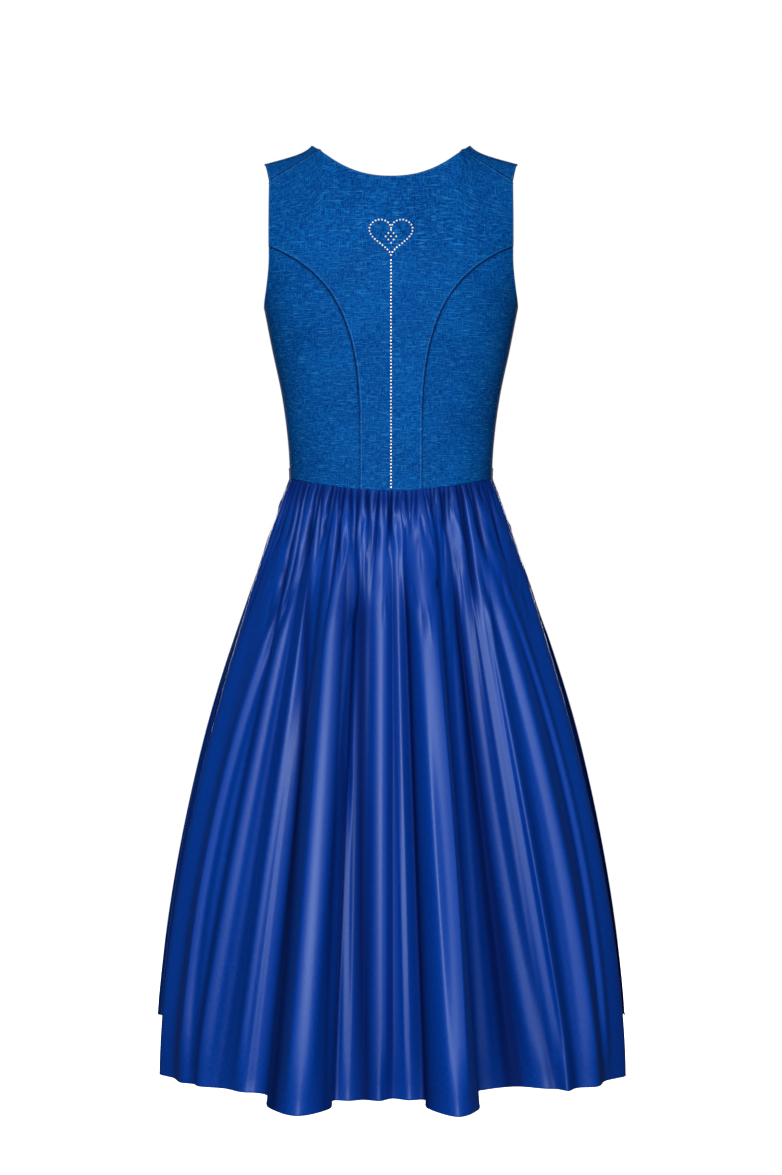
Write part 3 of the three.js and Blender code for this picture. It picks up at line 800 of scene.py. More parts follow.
@dataclass(frozen=True)
class Satin:
    """The skirt's and the apron's satin."""

    name: str
    deep: Colour
    pale: Colour
    # The colour of the painted shade in the valleys and puckers
    shade: Colour
    roughness: float = 0.41
    gloss: float = 0.7
    index: float = 1.5
    sheen_tint: Colour = (0.48, 0.60, 0.74, 1.0)

    def make(self) -> bpy.types.Material:
        """Builds the material."""
        nodes = Nodes(self.name)
        place = nodes.node("ShaderNodeUVMap", {"uv_map": "cloth"}, {})
        threads = nodes.noise(place, (900, 160, 1), 1.0)
        picks = nodes.noise(place, (200, 900, 1), 1.0)
        patch = nodes.noise(place, (9, 4, 1), 1.0)
        tone = threads * 0.5 + picks * 0.3 + patch * 0.2
        base = nodes.mix(nodes.ramp(tone, 0.35, 0.65), self.deep, self.pale)
        # Painted shade: the cloth darkens towards the shade colour in the valleys, in the puckers and under
        # the waist seam, and its sheen is dulled there
        valley = nodes.node("ShaderNodeAttribute", {"attribute_name": "valley"}, {}, "Fac").clamp()
        base = nodes.mix(valley * 0.85, base, self.shade)
        height = threads * 0.5 + picks * 0.4
        return nodes.surface(
            {
                "Base Color": base,
                "Roughness": patch * 0.08 + (self.roughness - 0.04),
                "Specular IOR Level": self.gloss,
                "IOR": self.index,
                "Specular Tint": self.sheen_tint,
                "Normal": nodes.bump(height, 0.00016, 0.6),
            },
            {"Base Color": base, "Roughness": 0.8, "Specular IOR Level": 0.1},
            nodes.ramp(valley, 0.1, 0.8),
        )


@dataclass(frozen=True)
class Metal:
    """The buttons' satin metal."""

    name: str = "button_metal"
    pale: Colour = colour(206, 208, 212)
    dark: Colour = colour(120, 122, 128)

    def make(self) -> bpy.types.Material:
        """Builds the material."""
        nodes = Nodes(self.name)
        place = nodes.node("ShaderNodeTexCoord", {}, {}, "Object")
        grain = nodes.noise(place, (900, 900, 900), 2.0)
        base = nodes.mix(nodes.ramp(grain, 0.3, 0.7), self.dark, self.pale)
        return nodes.surface({"Base Color": base, "Roughness": grain * 0.2 + 0.22, "Metallic": 1.0})


@dataclass(frozen=True)
class Thread:
    """Sewing thread."""

    name: str
    deep: Colour
    pale: Colour

    def make(self) -> bpy.types.Material:
        """Builds the material."""
        nodes = Nodes(self.name)
        place = nodes.node("ShaderNodeTexCoord", {}, {}, "Object")
        twist = nodes.noise(place, (2500, 2500, 2500), 1.0)
        base = nodes.mix(nodes.ramp(twist, 0.3, 0.7), self.deep, self.pale)
        return nodes.surface({"Base Color": base, "Roughness": 0.55, "Specular IOR Level": 0.5})


@dataclass(frozen=True)
class Stone:
    """The small cream stones."""

    name: str = "cream_stone"
    pale: Colour = colour(255, 255, 226)
    dark: Colour = colour(252, 240, 200)

    def make(self) -> bpy.types.Material:
        """Builds the material."""
        nodes = Nodes(self.name)
        place = nodes.node("ShaderNodeTexCoord", {}, {}, "Object")
        spot = nodes.noise(place, (700, 700, 700), 0.0)
        base = nodes.mix(nodes.ramp(spot, 0.35, 0.65), self.dark, self.pale)
        return nodes.surface(
            {
                "Base Color": base,
                "Roughness": 0.18,
                "Specular IOR Level": 0.8,
                "Coat Weight": 0.4,
                # Painted light: the stones glow a little in their own colour, so that they read bright
                "Emission Color": base,
                "Emission Strength": 0.4,
            }
        )


@dataclass
class Gather:
    """One pucker at the waist: the valley between two small folds."""

    turn: float
    depth: float
    width: float
    start: float
    end: float
    drift: float


class Skirt:
    """The skirt's form, shared by its two panels, the apron and the band."""

    GATHERS = 104
    DIMPLES = 220
    TOP_PINCH = 0.5
    # How far the cloth swells just under the waist
    BULGE = 1.6
    # The height where a long fold's first place holds, and how far below it the hem's place holds
    CREASE_TOP = -600.0
    CREASE_SPAN = 460.0
    # Degrees at the waist over which the long folds end at a side seam
    SIDE_FADE = 7.0
    # The depths at which a pucker and a long valley are at their darkest in painted shade, and the painted
    # shade just under the waist seam
    DARK_PUCKER = 4.2
    DARK_VALLEY = 6.0
    TUCK_SHADE = 0.55

    def __init__(self) -> None:
        """Works out the folds' line at the hem, and the gathers."""
        self.knots = self._with_troughs()
        self.gathers = self._make_gathers()

    @staticmethod
    def _with_troughs() -> Points:
        """Returns the folds with a trough after each one that has a dip."""
        rows = np.array(FOLDS, float)
        following = np.roll(rows, -1, axis=0)
        following[-1, 0] -= 360
        made = []
        for row, after in zip(rows, following):
            made.append(row[:4])
            if row[4]:
                chord = unit(after[1:3] - row[1:3])
                half = (row[:4] + after[:4]) / 2
                half[1] -= chord[1] * row[4]
                half[2] += chord[0] * row[4]
                made.append(half)
        return np.array(made)

    def _make_gathers(self) -> list[Gather]:
        """Returns the gathers, uneven in place, depth and length, as gathered cloth is."""
        rng = np.random.default_rng(SEED)
        made = []
        for k in range(self.GATHERS):
            turn = 90 - (k + 0.5 + rng.uniform(-0.42, 0.42)) * 360 / self.GATHERS
            kind = rng.choice(3, p=(0.46, 0.36, 0.18))
            end = (rng.uniform(0.03, 0.09), rng.uniform(0.10, 0.18), rng.uniform(0.20, 0.34))[kind]
            depth = (rng.uniform(1.6, 3.2), rng.uniform(2.8, 4.8), rng.uniform(3.8, 6.0))[kind]
            made.append(Gather(turn, depth, rng.uniform(0.45, 1.0), 0.0, end, rng.uniform(-2.6, 2.6)))
        for _ in range(self.DIMPLES):
            start = rng.uniform(0.004, 0.2)
            depth = rng.uniform(0.7, 2.2) * rng.choice((-1, 1))
            end = start + rng.uniform(0.03, 0.09)
            turn, width = rng.uniform(-270, 90), rng.uniform(0.5, 1.1)
            made.append(Gather(turn, depth, width, start, end, rng.uniform(-3, 3)))
        return made

    def hem(self, waist: Points) -> Points:
        """Returns the hem's points for angles at the waist, on a curve through the folds.

        Args:
            waist: degrees from centre back, from 90 down to -270.

        Returns:
            The points, with x, y and z last.
        """
        knots, count = self.knots, len(self.knots)
        turns = np.append(knots[:, 0], knots[0, 0] - 360)
        i = np.clip(np.searchsorted(-turns, -waist, side="right") - 1, 0, count - 1)
        t = (waist - turns[i]) / (turns[i + 1] - turns[i])
        spots = np.column_stack([knots[:, 1:3], HEM_Z + knots[:, 3]])
        p = [spots[(i + k) % count] for k in (-1, 0, 1, 2)]
        d = [np.maximum(np.linalg.norm(p[k + 1] - p[k], axis=-1), 1e-4) ** 0.5 for k in range(3)]
        d = [each[..., None] for each in d]
        t1 = (p[1] - p[0]) / d[0] - (p[2] - p[0]) / (d[0] + d[1]) + (p[2] - p[1]) / d[1]
        t2 = (p[2] - p[1]) / d[1] - (p[3] - p[1]) / (d[1] + d[2]) + (p[3] - p[2]) / d[2]
        t1, t2, t = t1 * d[1], t2 * d[1], t[..., None]
        c2 = -3 * p[1] + 3 * p[2] - 2 * t1 - t2
        c3 = 2 * p[1] - 2 * p[2] + t1 + t2
        return p[1] + t1 * t + c2 * t * t + c3 * t**3

    @staticmethod
    def widened(start: Points, end: Points, fall: Points, z: Points) -> Points:
        """Returns points on the way from the waist to the hem, which spread soonest at the top.

        Args:
            start, end: the points at the waist and at the hem.
            fall: the shares of the way down.
            z: the heights to give the points.

        Returns:
            The points, with x, y and z last.
        """
        sideways = start[..., 0] / np.hypot(start[..., 0], start[..., 1])
        x = lerp(start[..., 0], end[..., 0], 1 - (1 - fall) ** (1 + SIDE_SPREAD * sideways**6))
        y = lerp(start[..., 1], end[..., 1], 1 - (1 - fall) ** DEPTH_SPREAD)
        return np.stack([x, y, z], axis=-1)

    def bare(self, waist: Points, fall: Points) -> Points:
        """Returns the skirt's surface without gathers, rows of fall by columns of waist."""
        angle = np.radians(waist)
        start = Figure.round_body(angle, Figure.waist(angle))[None]
        end = self.hem(waist)[None]
        fall = fall[:, None]
        return self.widened(start, end, fall, lerp(start[..., 2] + SEAM_TUCK, end[..., 2], fall))

    def _puckers(self, waist: Points, fall: Points) -> Points:
        """Returns the depth of the gathers' valleys over the grid."""
        turn, fall = waist[None], fall[:, None]
        total = np.zeros((fall.size, waist.size))
        # The top row meets the bodice's edge, so that no hole is left behind a pucker
        come = lerp(self.TOP_PINCH, 1, smooth(fall, 0, 0.016)) * (fall > 0)
        for gather in self.gathers:
            share = np.clip((fall - gather.start) / (gather.end - gather.start), 0, 1)
            off = turn - gather.turn - gather.drift * share * 2
            off = (off + 180) % 360 - 180
            width = gather.width * (1 + 1.3 * share)
            fade = (1 - share**2.2) * (smooth(share, 0, 0.35) if gather.start else 1)
            total = total + gather.depth * come * fade * np.exp(-(np.abs(off / width) ** 1.3))
        return total

    @classmethod
    def _creases(cls, bare: Points, before: bool) -> Iterator[tuple[Points, Points, Points]]:
        """Yields the height, the middle line and the half width of each long fold, row by row."""
        z = bare[:, 0, 2]
        share = np.clip((cls.CREASE_TOP - z) / cls.CREASE_SPAN, -0.45, 1.15)
        for top, middle, hem, height, slim, wide, start, full in FRONT_CREASES if before else BACK_CREASES:
            bend = (middle - (top + hem) / 2) * 4 * share * (1 - share) * 0.9
            line = top + (hem - top) * share + bend
            width = lerp(slim, wide, np.clip(share, 0, 1))
            yield height * (1 - smooth(z, full, start)), line[:, None], width[:, None]

    def _relief(self, bare: Points, waist: Points, before: bool) -> tuple[Points, Points]:
        """Returns how far the long folds stand out towards the back, and their valleys' depth.

        Args:
            bare: the surface without folds.
            waist: its columns, as degrees from centre back.
            before: whether the front's folds are wanted.

        Returns:
            Both as rows by columns.
        """
        across = np.abs((waist + (180 if before else 0) + 180) % 360 - 180) < 76
        relief, valleys = np.zeros(bare.shape[:2]), np.zeros(bare.shape[:2])
        if not across.any():
            return relief, valleys
        outward = -1 if before else 1
        order = np.argsort(bare[0, across, 0])
        for height, line, width in self._creases(bare, before):
            off = (bare[..., 0] - line) / width
            if height.min() < 0:
                valley = -height[:, None] * np.exp(-(np.abs(off) ** 1.15))
                relief -= outward * valley
                valleys += valley
                continue
            rows = zip(line[:, 0], bare[:, across][:, order])
            middle = np.array([np.interp(x, row[:, 0], row[:, 1]) for x, row in rows])[:, None]
            crown = outward * (1 - 0.5 * off * off) * np.maximum(height, 0)[:, None]
            full = np.clip(height / max(height.max(), 1e-6), 0, 1)[:, None] * FLATNESS
            relief += np.exp(-(off**4)) * (np.clip(middle - bare[..., 1], -9, 9) * full + crown)
        return relief, valleys

    def surface(self, waist: Points, fall: Points) -> tuple[Points, Points, Points]:
        """Returns the gathered surface.

        Args:
            waist: columns, as degrees from centre back.
            fall: rows, as shares of the way from the waist to the hem.

        Returns:
            Points and normals, rows by columns by 3, and the painted shade of the valleys, the puckers and
            the band under the waist, from 0 to 1.
        """
        bare = self.bare(waist, fall)
        step = np.gradient(bare, axis=1)
        flat = unit(np.stack([step[..., 1], -step[..., 0], 0 * step[..., 0]], axis=-1))
        flush = (BODICE_WALL - 0.4) * (1 - smooth(fall, 0, 0.1))[:, None]
        bulge = self.BULGE * (smooth(fall, 0, 0.03) * (1 - smooth(fall, 0.06, 0.3)))[:, None]
        # The long folds end at the side seams, so that both panels meet there
        turn = np.abs((waist + 180) % 360 - 180)
        apart = smooth(np.abs(turn - 90), 0, self.SIDE_FADE)
        behind, before = apart * (turn < 90), apart * (turn > 90)
        back, back_valleys = self._relief(bare, waist, False)
        front, front_valleys = self._relief(bare, waist, True)
        puckers = self._puckers(waist, fall)
        points = bare + flat * (flush + bulge - puckers)[..., None]
        hang = 1 - 0.9 * smooth(fall, 0.90, 1)[:, None]
        points[..., 1] += (back * behind + front * before) * hang
        normals = normals_of(points, lambda _: flat)
        normals[0, :, 2] = 0
        normals[-1, :, 2] = 0
        valleys = back_valleys * behind + front_valleys * before
        # Painted shade under the waist seam, in the puckers and in the long valleys
        valley = self.TUCK_SHADE * (1 - smooth(fall, 0.0, 0.06))[:, None]
        valley = valley + np.clip(puckers / self.DARK_PUCKER, 0, 1) ** 1.4
        valley = valley + np.clip(valleys / self.DARK_VALLEY, 0, 1) ** 1.2
        return points, unit(normals), np.clip(valley, 0, 1)


@dataclass
class Garment:
    """The dress as it is put together: its finishes, and the lines of stitches made so far."""

    linen: Linen = field(default_factory=Linen)
    metal: Metal = field(default_factory=Metal)
    stone: Stone = field(default_factory=Stone)
    # The third colour of each satin is its painted shade
    satin: Satin = Satin("skirt_satin", colour(0, 58, 164), colour(0, 76, 190), colour(0, 20, 84))
    apron_satin: Satin = Satin(
        "apron_satin", colour(0, 40, 116), colour(2, 48, 130), colour(0, 16, 60), 0.5, 0.3, 1.4
    )
    blue_thread: Thread = Thread("bodice_thread", colour(34, 118, 196), colour(66, 148, 214))
    deep_thread: Thread = Thread("apron_thread", colour(8, 60, 150), colour(40, 90, 180))
    sewing: list[Points] = field(default_factory=list)
    hems: list[Points] = field(default_factory=list)

    @staticmethod
    def keep(
        made: bpy.types.Object, material: bpy.types.Material | None, slot: str, replaced: Sequence[str] = ()
    ) -> bpy.types.Object:
        """Dresses a finished piece and ties it to the frame.

        Args:
            made: the piece's object.
            material: its finish, or None where it has one.
            slot: not used.
            replaced: the nodes that it stands for.

        Returns:
            The same object.
        """
        if material:
            made.data.materials.clear()
            made.data.materials.append(material)
        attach(made, "root")
        if replaced:
            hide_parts(*replaced)
        log.info("%s: %d faces", made.name, len(made.data.polygons))
        return made

    def keep_cloth(
        self, cloth: Cloth, material: bpy.types.Material, slot: str, node: str, held: str
    ) -> bpy.types.Object:
        """Makes a cloth piece and ties it to the frame."""
        made = self.keep(cloth.build(), material, slot, [node])
        width = float(along(cloth.points, 1)[:, -1].max()) * MM
        length = float(along(cloth.points, 0)[-1].max()) * MM
        min(sheet_area(cloth.points), width * length)
        return made


def shoulder_outward(points: Points) -> Points:
    """Returns a rough outward direction for cloth that goes over the shoulders."""
    x, y, z = np.moveaxis(points, -1, 0)
    return np.stack([0.3 * x, y, np.maximum(z + 60, 0)], axis=-1)


def sideways_outward(points: Points) -> Points:
    """Returns a rough outward direction for cloth round the sides."""
    return points * np.array([1, 1, 0])


class Bodice:
    """The seven panels of the bodice."""

    CLOSE = (0.0016, 0.005, 0.011, 0.02)
    GIRTH_RADIUS = 112.0

    def __init__(self, garment: Garment) -> None:
        """Keeps the garment that the panels belong to."""
        self.garment = garment
        self.cloth = garment.linen.make()

    @staticmethod
    def _edge(spans: Sequence[tuple[float, Callable[[Points], Points]]], t: Points) -> Points:
        """Returns points of an edge made of several lines.

        Args:
            spans: the share of the edge at which each line ends, with its function of 0 to 1.
            t: shares along the whole edge.

        Returns:
            One pair for each share.
        """
        out = np.zeros((len(t), 2))
        start = 0.0
        for end, line in spans:
            inside = (t >= start - 1e-9) & (t <= end + 1e-9)
            if inside.any():
                out[inside] = line(np.clip((t[inside] - start) / (end - start), 0, 1))
            start = end
        return out

    def back_centre(self) -> Cloth:
        """Returns the centre back panel."""
        s = shares(96, self.CLOSE)
        x_bottom = lerp(Seams.BACK_HALF, -Seams.BACK_HALF, s)
        bottom = np.stack([x_bottom, Figure.waist_at(x_bottom, Side.BEHIND)], axis=-1)

        def neck(t: Points) -> Points:
            x = lerp(SEAM_INNER[0], -SEAM_INNER[0], t)
            z = np.where((t < 1e-6) | (t > 1 - 1e-6), SEAM_INNER[1], Seams.back_neck(x))
            return np.stack([x, z], axis=-1)

        mirrored = np.array([-1, 1])
        top = self._edge(
            [
                (0.25, lambda t: Seams.shoulder(1 - t)),
                (0.75, neck),
                (1.0, lambda t: Seams.shoulder(t) * mirrored),
            ],
            s,
        )
        top[:, 1] = Figure.cloth_length(top[:, 0], top[:, 1])
        steps = shares(112, self.CLOSE)
        edge = self._edge(
            [
                (0.75, Seams.back_princess),
                (1.0, lambda t: lerp(np.array(Seams.BACK_ARMHOLE), np.array(SEAM_OUTER), t[:, None])),
            ],
            steps,
        )
        left = np.stack([edge[:, 0], Figure.cloth_length(edge[:, 0], edge[:, 1])], axis=-1)
        t = (left[:, 1] - left[0, 1]) / (left[-1, 1] - left[0, 1])
        flat = coons(bottom, top, left, left * mirrored, s, t)
        points = Figure.over_shoulder(flat[..., 0], flat[..., 1], Side.BEHIND)
        normals = normals_of(points, shoulder_outward)
        return Cloth("back_centre_cloth", points, normals, 0, BODICE_WALL, flat)

    def side_panel(self, side: Side, hand: Hand) -> Cloth:
        """Returns a panel from a princess seam to the side seam."""
        line = Seams.back_princess if side is Side.BEHIND else Seams.front_princess
        steps = shares(84, self.CLOSE)
        edge = line(steps)
        left = np.stack([Figure.angle_at(edge[:, 0], edge[:, 1], side), edge[:, 1]], axis=-1)
        s = shares(44, (0.003, 0.009, 0.02))
        (foot, _), (arm_angle, arm_z) = left[0], left[-1]
        turns = lerp(foot, math.pi / 2, s)
        bottom = np.stack([turns, Figure.waist(turns)], axis=-1)
        quarter = (1 - s) * math.pi / 2
        top = np.stack(
            [
                lerp(math.pi / 2, arm_angle, np.sin(quarter)),
                lerp(UNDERARM_Z, arm_z, 1 - np.cos(quarter)),
            ],
            axis=-1,
        )
        t = (left[:, 1] - left[0, 1]) / (arm_z - left[0, 1])
        right = np.stack([np.full(t.shape, math.pi / 2), lerp(WAIST_SIDE_Z, UNDERARM_Z, t)], axis=-1)
        flat = coons(bottom, top, left, right, s, t)
        points = Figure.round_body(flat[..., 0], flat[..., 1]) * np.array([hand.value, 1, 1])
        where = "back" if side is Side.BEHIND else "front"
        name = f"{where}_side_{hand.name.lower()}_cloth"
        normals = normals_of(points, sideways_outward)
        grain = flat * np.array([self.GIRTH_RADIUS, 1]) + np.array([40 * hand.value * side.value, 0])
        return Cloth(name, points, normals, 0, BODICE_WALL, grain, left=Edge.UNDER, top=Edge.TURNED)

    def front_centre(self, hand: Hand) -> Cloth:
        """Returns a front panel, from the lap over the shoulder to the set-back seam."""
        t = shares(19 * 6, self.CLOSE)
        foot = float(Figure.waist_at(LAP, Side.BEFORE))

        def seam(share: Points) -> Points:
            spots = Seams.shoulder(share)
            return np.stack([spots[:, 0], Figure.cloth_length(spots[:, 0], spots[:, 1], True)], axis=-1)

        inner, outer = seam(np.array([0.0, 1.0]))
        neck_foot = float(Seams.front_neck(np.array([0.0]))[0, 1])
        ends = (9 / 19, 16 / 19, 12 / 19)

        def rising(a: Points, b: Points, power: float) -> Callable[[Points], Points]:
            return lambda u: np.stack([lerp(a[0], b[0], u**power), lerp(a[1], b[1], u)], axis=-1)

        left = self._edge(
            [
                (ends[0], rising((-LAP, foot), (-LAP, neck_foot), 1)),
                (ends[1], Seams.front_neck),
                (1.0, rising((NECK_HALF, CREST_H), inner, 2)),
            ],
            t,
        )
        arm = Seams.FRONT_ARMHOLE
        arm_h = float(Figure.cloth_length(np.array(arm[0]), np.array(arm[1])))

        def princess(u: Points) -> Points:
            spots = Seams.front_princess(u)
            return np.stack([spots[:, 0], Figure.cloth_length(spots[:, 0], spots[:, 1])], axis=-1)

        right = self._edge(
            [
                (ends[2], princess),
                (ends[1], rising((arm[0], arm_h), (STRAP_END, CREST_H), 2.2)),
                (1.0, rising((STRAP_END, CREST_H), outer, 1.3)),
            ],
            t,
        )
        s = shares(64, self.CLOSE)
        x_bottom = lerp(-LAP, Seams.FRONT_HALF, s)
        bottom = np.stack([x_bottom, Figure.waist_at(x_bottom, Side.BEFORE)], axis=-1)
        flat = coons(bottom, seam(s), left, right, s, t)
        points = Figure.over_shoulder(flat[..., 0], flat[..., 1], Side.BEFORE)
        points = points * np.array([hand.value, 1, 1])
        normals = normals_of(points, shoulder_outward)
        if hand is Hand.RIGHT:
            level = 1 - smooth(points[..., 2], -FRONT_NECK_DROP + 10, -90)
            lift = LAP_LIFT * (1 - smooth(s, 0.4, 1))[None] * level
            points = points + normals * lift[..., None]
        name = f"front_centre_{hand.name.lower()}_cloth"
        grain = flat * np.array([hand.value, 1]) + np.array([300, 0])
        return Cloth(name, points, normals, 0, BODICE_WALL, grain, left=Edge.TURNED, top=Edge.UNDER)

    def _sew(self, panel: Cloth) -> None:
        """Adds the rows of stitches beside a panel's edges."""
        edges = {
            "back_centre": ("left", "right", "top"),
            "back_side": ("top",),
            "front_side": ("top",),
            "front_centre": ("left", "right"),
        }
        kind = next(name for name in edges if panel.name.startswith(name))
        for edge in edges[kind]:
            self.garment.sewing.append(panel.line(edge, STITCH_INSET, 0.004, 0.996))

    def build(self) -> None:
        """Makes all the panels."""
        panels = [self.back_centre()]
        for hand in Hand:
            panels.append(self.side_panel(Side.BEHIND, hand))
            panels.append(self.side_panel(Side.BEFORE, hand))
            panels.append(self.front_centre(hand))
        for panel in panels:
            self._sew(panel)
            node = panel.name.removesuffix("_cloth")
            self.garment.keep_cloth(panel, self.cloth, "bodice_cloth", node, "stretched")


def sheet_area(points: Points) -> float:
    """Returns the area of a grid of points, in square metres."""
    a = points[1:, :-1] - points[:-1, :-1]
    b = points[:-1, 1:] - points[:-1, :-1]
    return float(np.linalg.norm(np.cross(a, b), axis=-1).sum()) * MM * MM


class Bottom:
    """The skirt's two panels and the apron with its band."""

    SKIRT_WIDTH = 1250.0
    APRON_WIDTH = 1000.0
    # Degrees at the waist that the front panel goes past each side seam
    SEAM_LAP = 0.05
    # Half the apron's turn round the waist, in degrees, and the share of the fall where it starts
    APRON_END = 82.5
    APRON_TOP = 0.018
    APRON_CLEAR = LAYER_GAP + 0.2
    HEM_DEPTH = 9.0
    # The waist's half width and half depth, for the way that the band faces
    WAIST_OVAL = (119.0, 100.0)

    def __init__(self, garment: Garment) -> None:
        """Keeps the garment and the skirt's form."""
        self.garment = garment
        self.form = Skirt()

    @staticmethod
    def rows(count: int, end: float = 1.0) -> Points:
        """Returns shares of the fall, closer near the waist and at the hem."""
        even = np.linspace(0, 1, count + 1) ** 1.9 * end
        return np.unique(np.concatenate([even, end - np.array([0.0004, 0.001, 0.002, 0.004])]))

    def panel(self, name: str, start: float, end: float, columns: int, rows: int) -> Cloth:
        """Returns a skirt panel between two angles at the waist."""
        waist = np.linspace(start, end, columns + 1)
        falls = self.rows(rows)
        grain = self._grain(waist, falls, self.SKIRT_WIDTH)
        return self._hung(name, (*self.form.surface(waist, falls), grain), -SKIRT_WALL, 0, Edge.OVER)

    @staticmethod
    def _hung(name: str, grids: Sequence[Points], low: float, high: float, side: Edge) -> Cloth:
        """Returns cloth that hangs from the waist.

        Args:
            name: the piece's name.
            grids: its points, normals, painted shade and grain, in rows from the waist down.
            low, high: where its two faces lie over the points.
            side: how its side edges are finished.

        Returns:
            The cloth.
        """
        points, normals, deep, grain = (grid[::-1] for grid in grids)
        return Cloth(name, points, normals, low, high, grain, side, side, Edge.TURNED, Edge.HELD, deep=deep)

    @staticmethod
    def _grain(waist: Points, falls: Points, width: float) -> Points:
        """Returns the place of each point on the uncut cloth."""
        across = waist / 180 * width
        down = falls * FULL_FALL
        return np.stack(np.meshgrid(across, down), axis=-1)

    def apron(self) -> Cloth:
        """Returns the apron's panel, which lies on the skirt."""
        waist = np.linspace(-180 + self.APRON_END, -180 - self.APRON_END, 521)
        falls = self.rows(54, APRON_FALL)
        falls = falls[falls > self.APRON_TOP]
        points, normals, deep = self.form.surface(waist, falls)
        flare = smooth(np.abs(waist + 180), 70, 82)[None] * smooth(falls, 0.04, 0.45)[:, None]
        points = points + normals * np.array([1, 1, 0]) * (EDGE_FLARE * flare)[..., None]
        low = self.APRON_CLEAR
        grids = (points, normals, deep, self._grain(waist, falls, self.APRON_WIDTH))
        return self._hung("apron_cloth", grids, low, low + APRON_WALL, Edge.TURNED)

    def band(self) -> Cloth:
        """Returns the band over the waist seam in front."""
        waist = np.linspace(-180 + BAND_END, -180 - BAND_END, 181)
        rises = np.unique(np.concatenate([np.linspace(-1, 1, 17), [-0.99, -0.96, 0.96, 0.99]]))
        angle = np.radians(waist)[None]
        rise = rises[:, None]
        z = Figure.waist(angle) + rise * BAND_HALF
        start = Figure.round_body(angle + 0 * rise, np.maximum(z, Figure.waist(angle)))
        fall = np.maximum(-rise, 0) * (BAND_HALF / -FULL_FALL)
        end = self.form.hem(waist)[None]
        points = self.form.widened(start, end, fall, z)
        wide, deep = self.WAIST_OVAL
        flat = unit(np.stack([start[..., 0] / wide**2, start[..., 1] / deep**2, 0 * z], axis=-1))
        clear = BODICE_WALL + LAYER_GAP + LAP_LIFT * (1 - smooth(np.abs(start[..., 0]), 34, 70))
        points = points + flat * clear[..., None]
        grain = np.stack([along(points, 1), along(points, 0)], axis=-1)
        turned = Edge.TURNED
        normals = normals_of(points, lambda _: flat)
        return Cloth(
            "apron_band_cloth", points, normals, 0, BAND_WALL, grain, turned, turned, turned, turned
        )

    def build(self) -> None:
        """Makes the panels."""
        satin = self.garment.satin.make()
        apron_satin = self.garment.apron_satin.make()
        back = self.panel("skirt_back_cloth", 90, -90, 680, 66)
        front = self.panel("skirt_front_cloth", -90 + self.SEAM_LAP, -270 - self.SEAM_LAP, 520, 56)
        apron, band = self.apron(), self.band()
        listed = [
            (back, satin, "skirt_cloth", "skirt_back", "gathered"),
            (front, satin, "skirt_cloth", "skirt_front", "gathered"),
            (apron, apron_satin, "apron_cloth", "apron_panel", "gathered"),
            (band, apron_satin, "apron_cloth", "apron_band", "stretched"),
        ]
        for cloth, material, slot, node, held in listed:
            self.garment.keep_cloth(cloth, material, slot, node, held)
        for edge in ("left", "right", "bottom"):
            self.garment.hems.append(apron.line(edge, self.HEM_DEPTH, 0.01, 0.99))
        for edge in ("bottom", "top"):
            self.garment.hems.append(band.line(edge, STITCH_INSET, 0.005, 0.995))


class Pattern:
    """A Geometry Nodes tree that sets one small shape many times, and how it is used."""

    def __init__(self, name: str, sizes: dict[str, float]) -> None:
        """Starts a tree with a geometry input and one named input for each size."""
        self.tree = bpy.data.node_groups.new(name, "GeometryNodeTree")
        face = self.tree.interface
        face.new_socket("Geometry", in_out="INPUT", socket_type="NodeSocketGeometry")
        self.sockets = {
            size: face.new_socket(size, in_out="INPUT", socket_type="NodeSocketFloat") for size in sizes
        }
        face.new_socket("Geometry", in_out="OUTPUT", socket_type="NodeSocketGeometry")
        self.sizes = sizes
        self.entry = self.tree.nodes.new("NodeGroupInput")

    def size(self, name: str) -> bpy.types.NodeSocket:
        """Returns the socket of a named size."""
        return self.entry.outputs[name]

    def node(self, kind: str, settings: dict, values: dict) -> bpy.types.Node:
        """Adds a node.

        Args:
            kind: the node's type.
            settings: its properties, set first.
            values: numbers or sockets for its inputs.

        Returns:
            The node.
        """
        made = self.tree.nodes.new(kind)
        for key, value in settings.items():
            setattr(made, key, value)
        for key, value in values.items():
            if isinstance(value, bpy.types.NodeSocket):
                self.tree.links.new(value, made.inputs[key])
            else:
                made.inputs[key].default_value = value
        return made

    def finish(self, instances: bpy.types.NodeSocket, material: bpy.types.Material) -> None:
        """Ends the tree with real geometry and its material."""
        real = self.node("GeometryNodeRealizeInstances", {}, {"Geometry": instances})
        dressed = self.node(
            "GeometryNodeSetMaterial", {}, {"Geometry": real.outputs[0], "Material": material}
        )
        end = self.tree.nodes.new("NodeGroupOutput")
        self.tree.links.new(dressed.outputs[0], end.inputs[0])

    def apply(self, base: bpy.types.Object) -> bpy.types.Object:
        """Runs the tree on an object and makes its result the object's own plain mesh."""
        modifier = base.modifiers.new(self.tree.name, "NODES")
        modifier.node_group = self.tree
        for name, value in self.sizes.items():
            modifier[self.sockets[name].identifier] = value
        ready = base.evaluated_get(bpy.context.evaluated_depsgraph_get())
        mesh = bpy.data.meshes.new_from_object(ready)
        mesh.name = base.name
        base.modifiers.remove(modifier)
        base.data = mesh
        return base


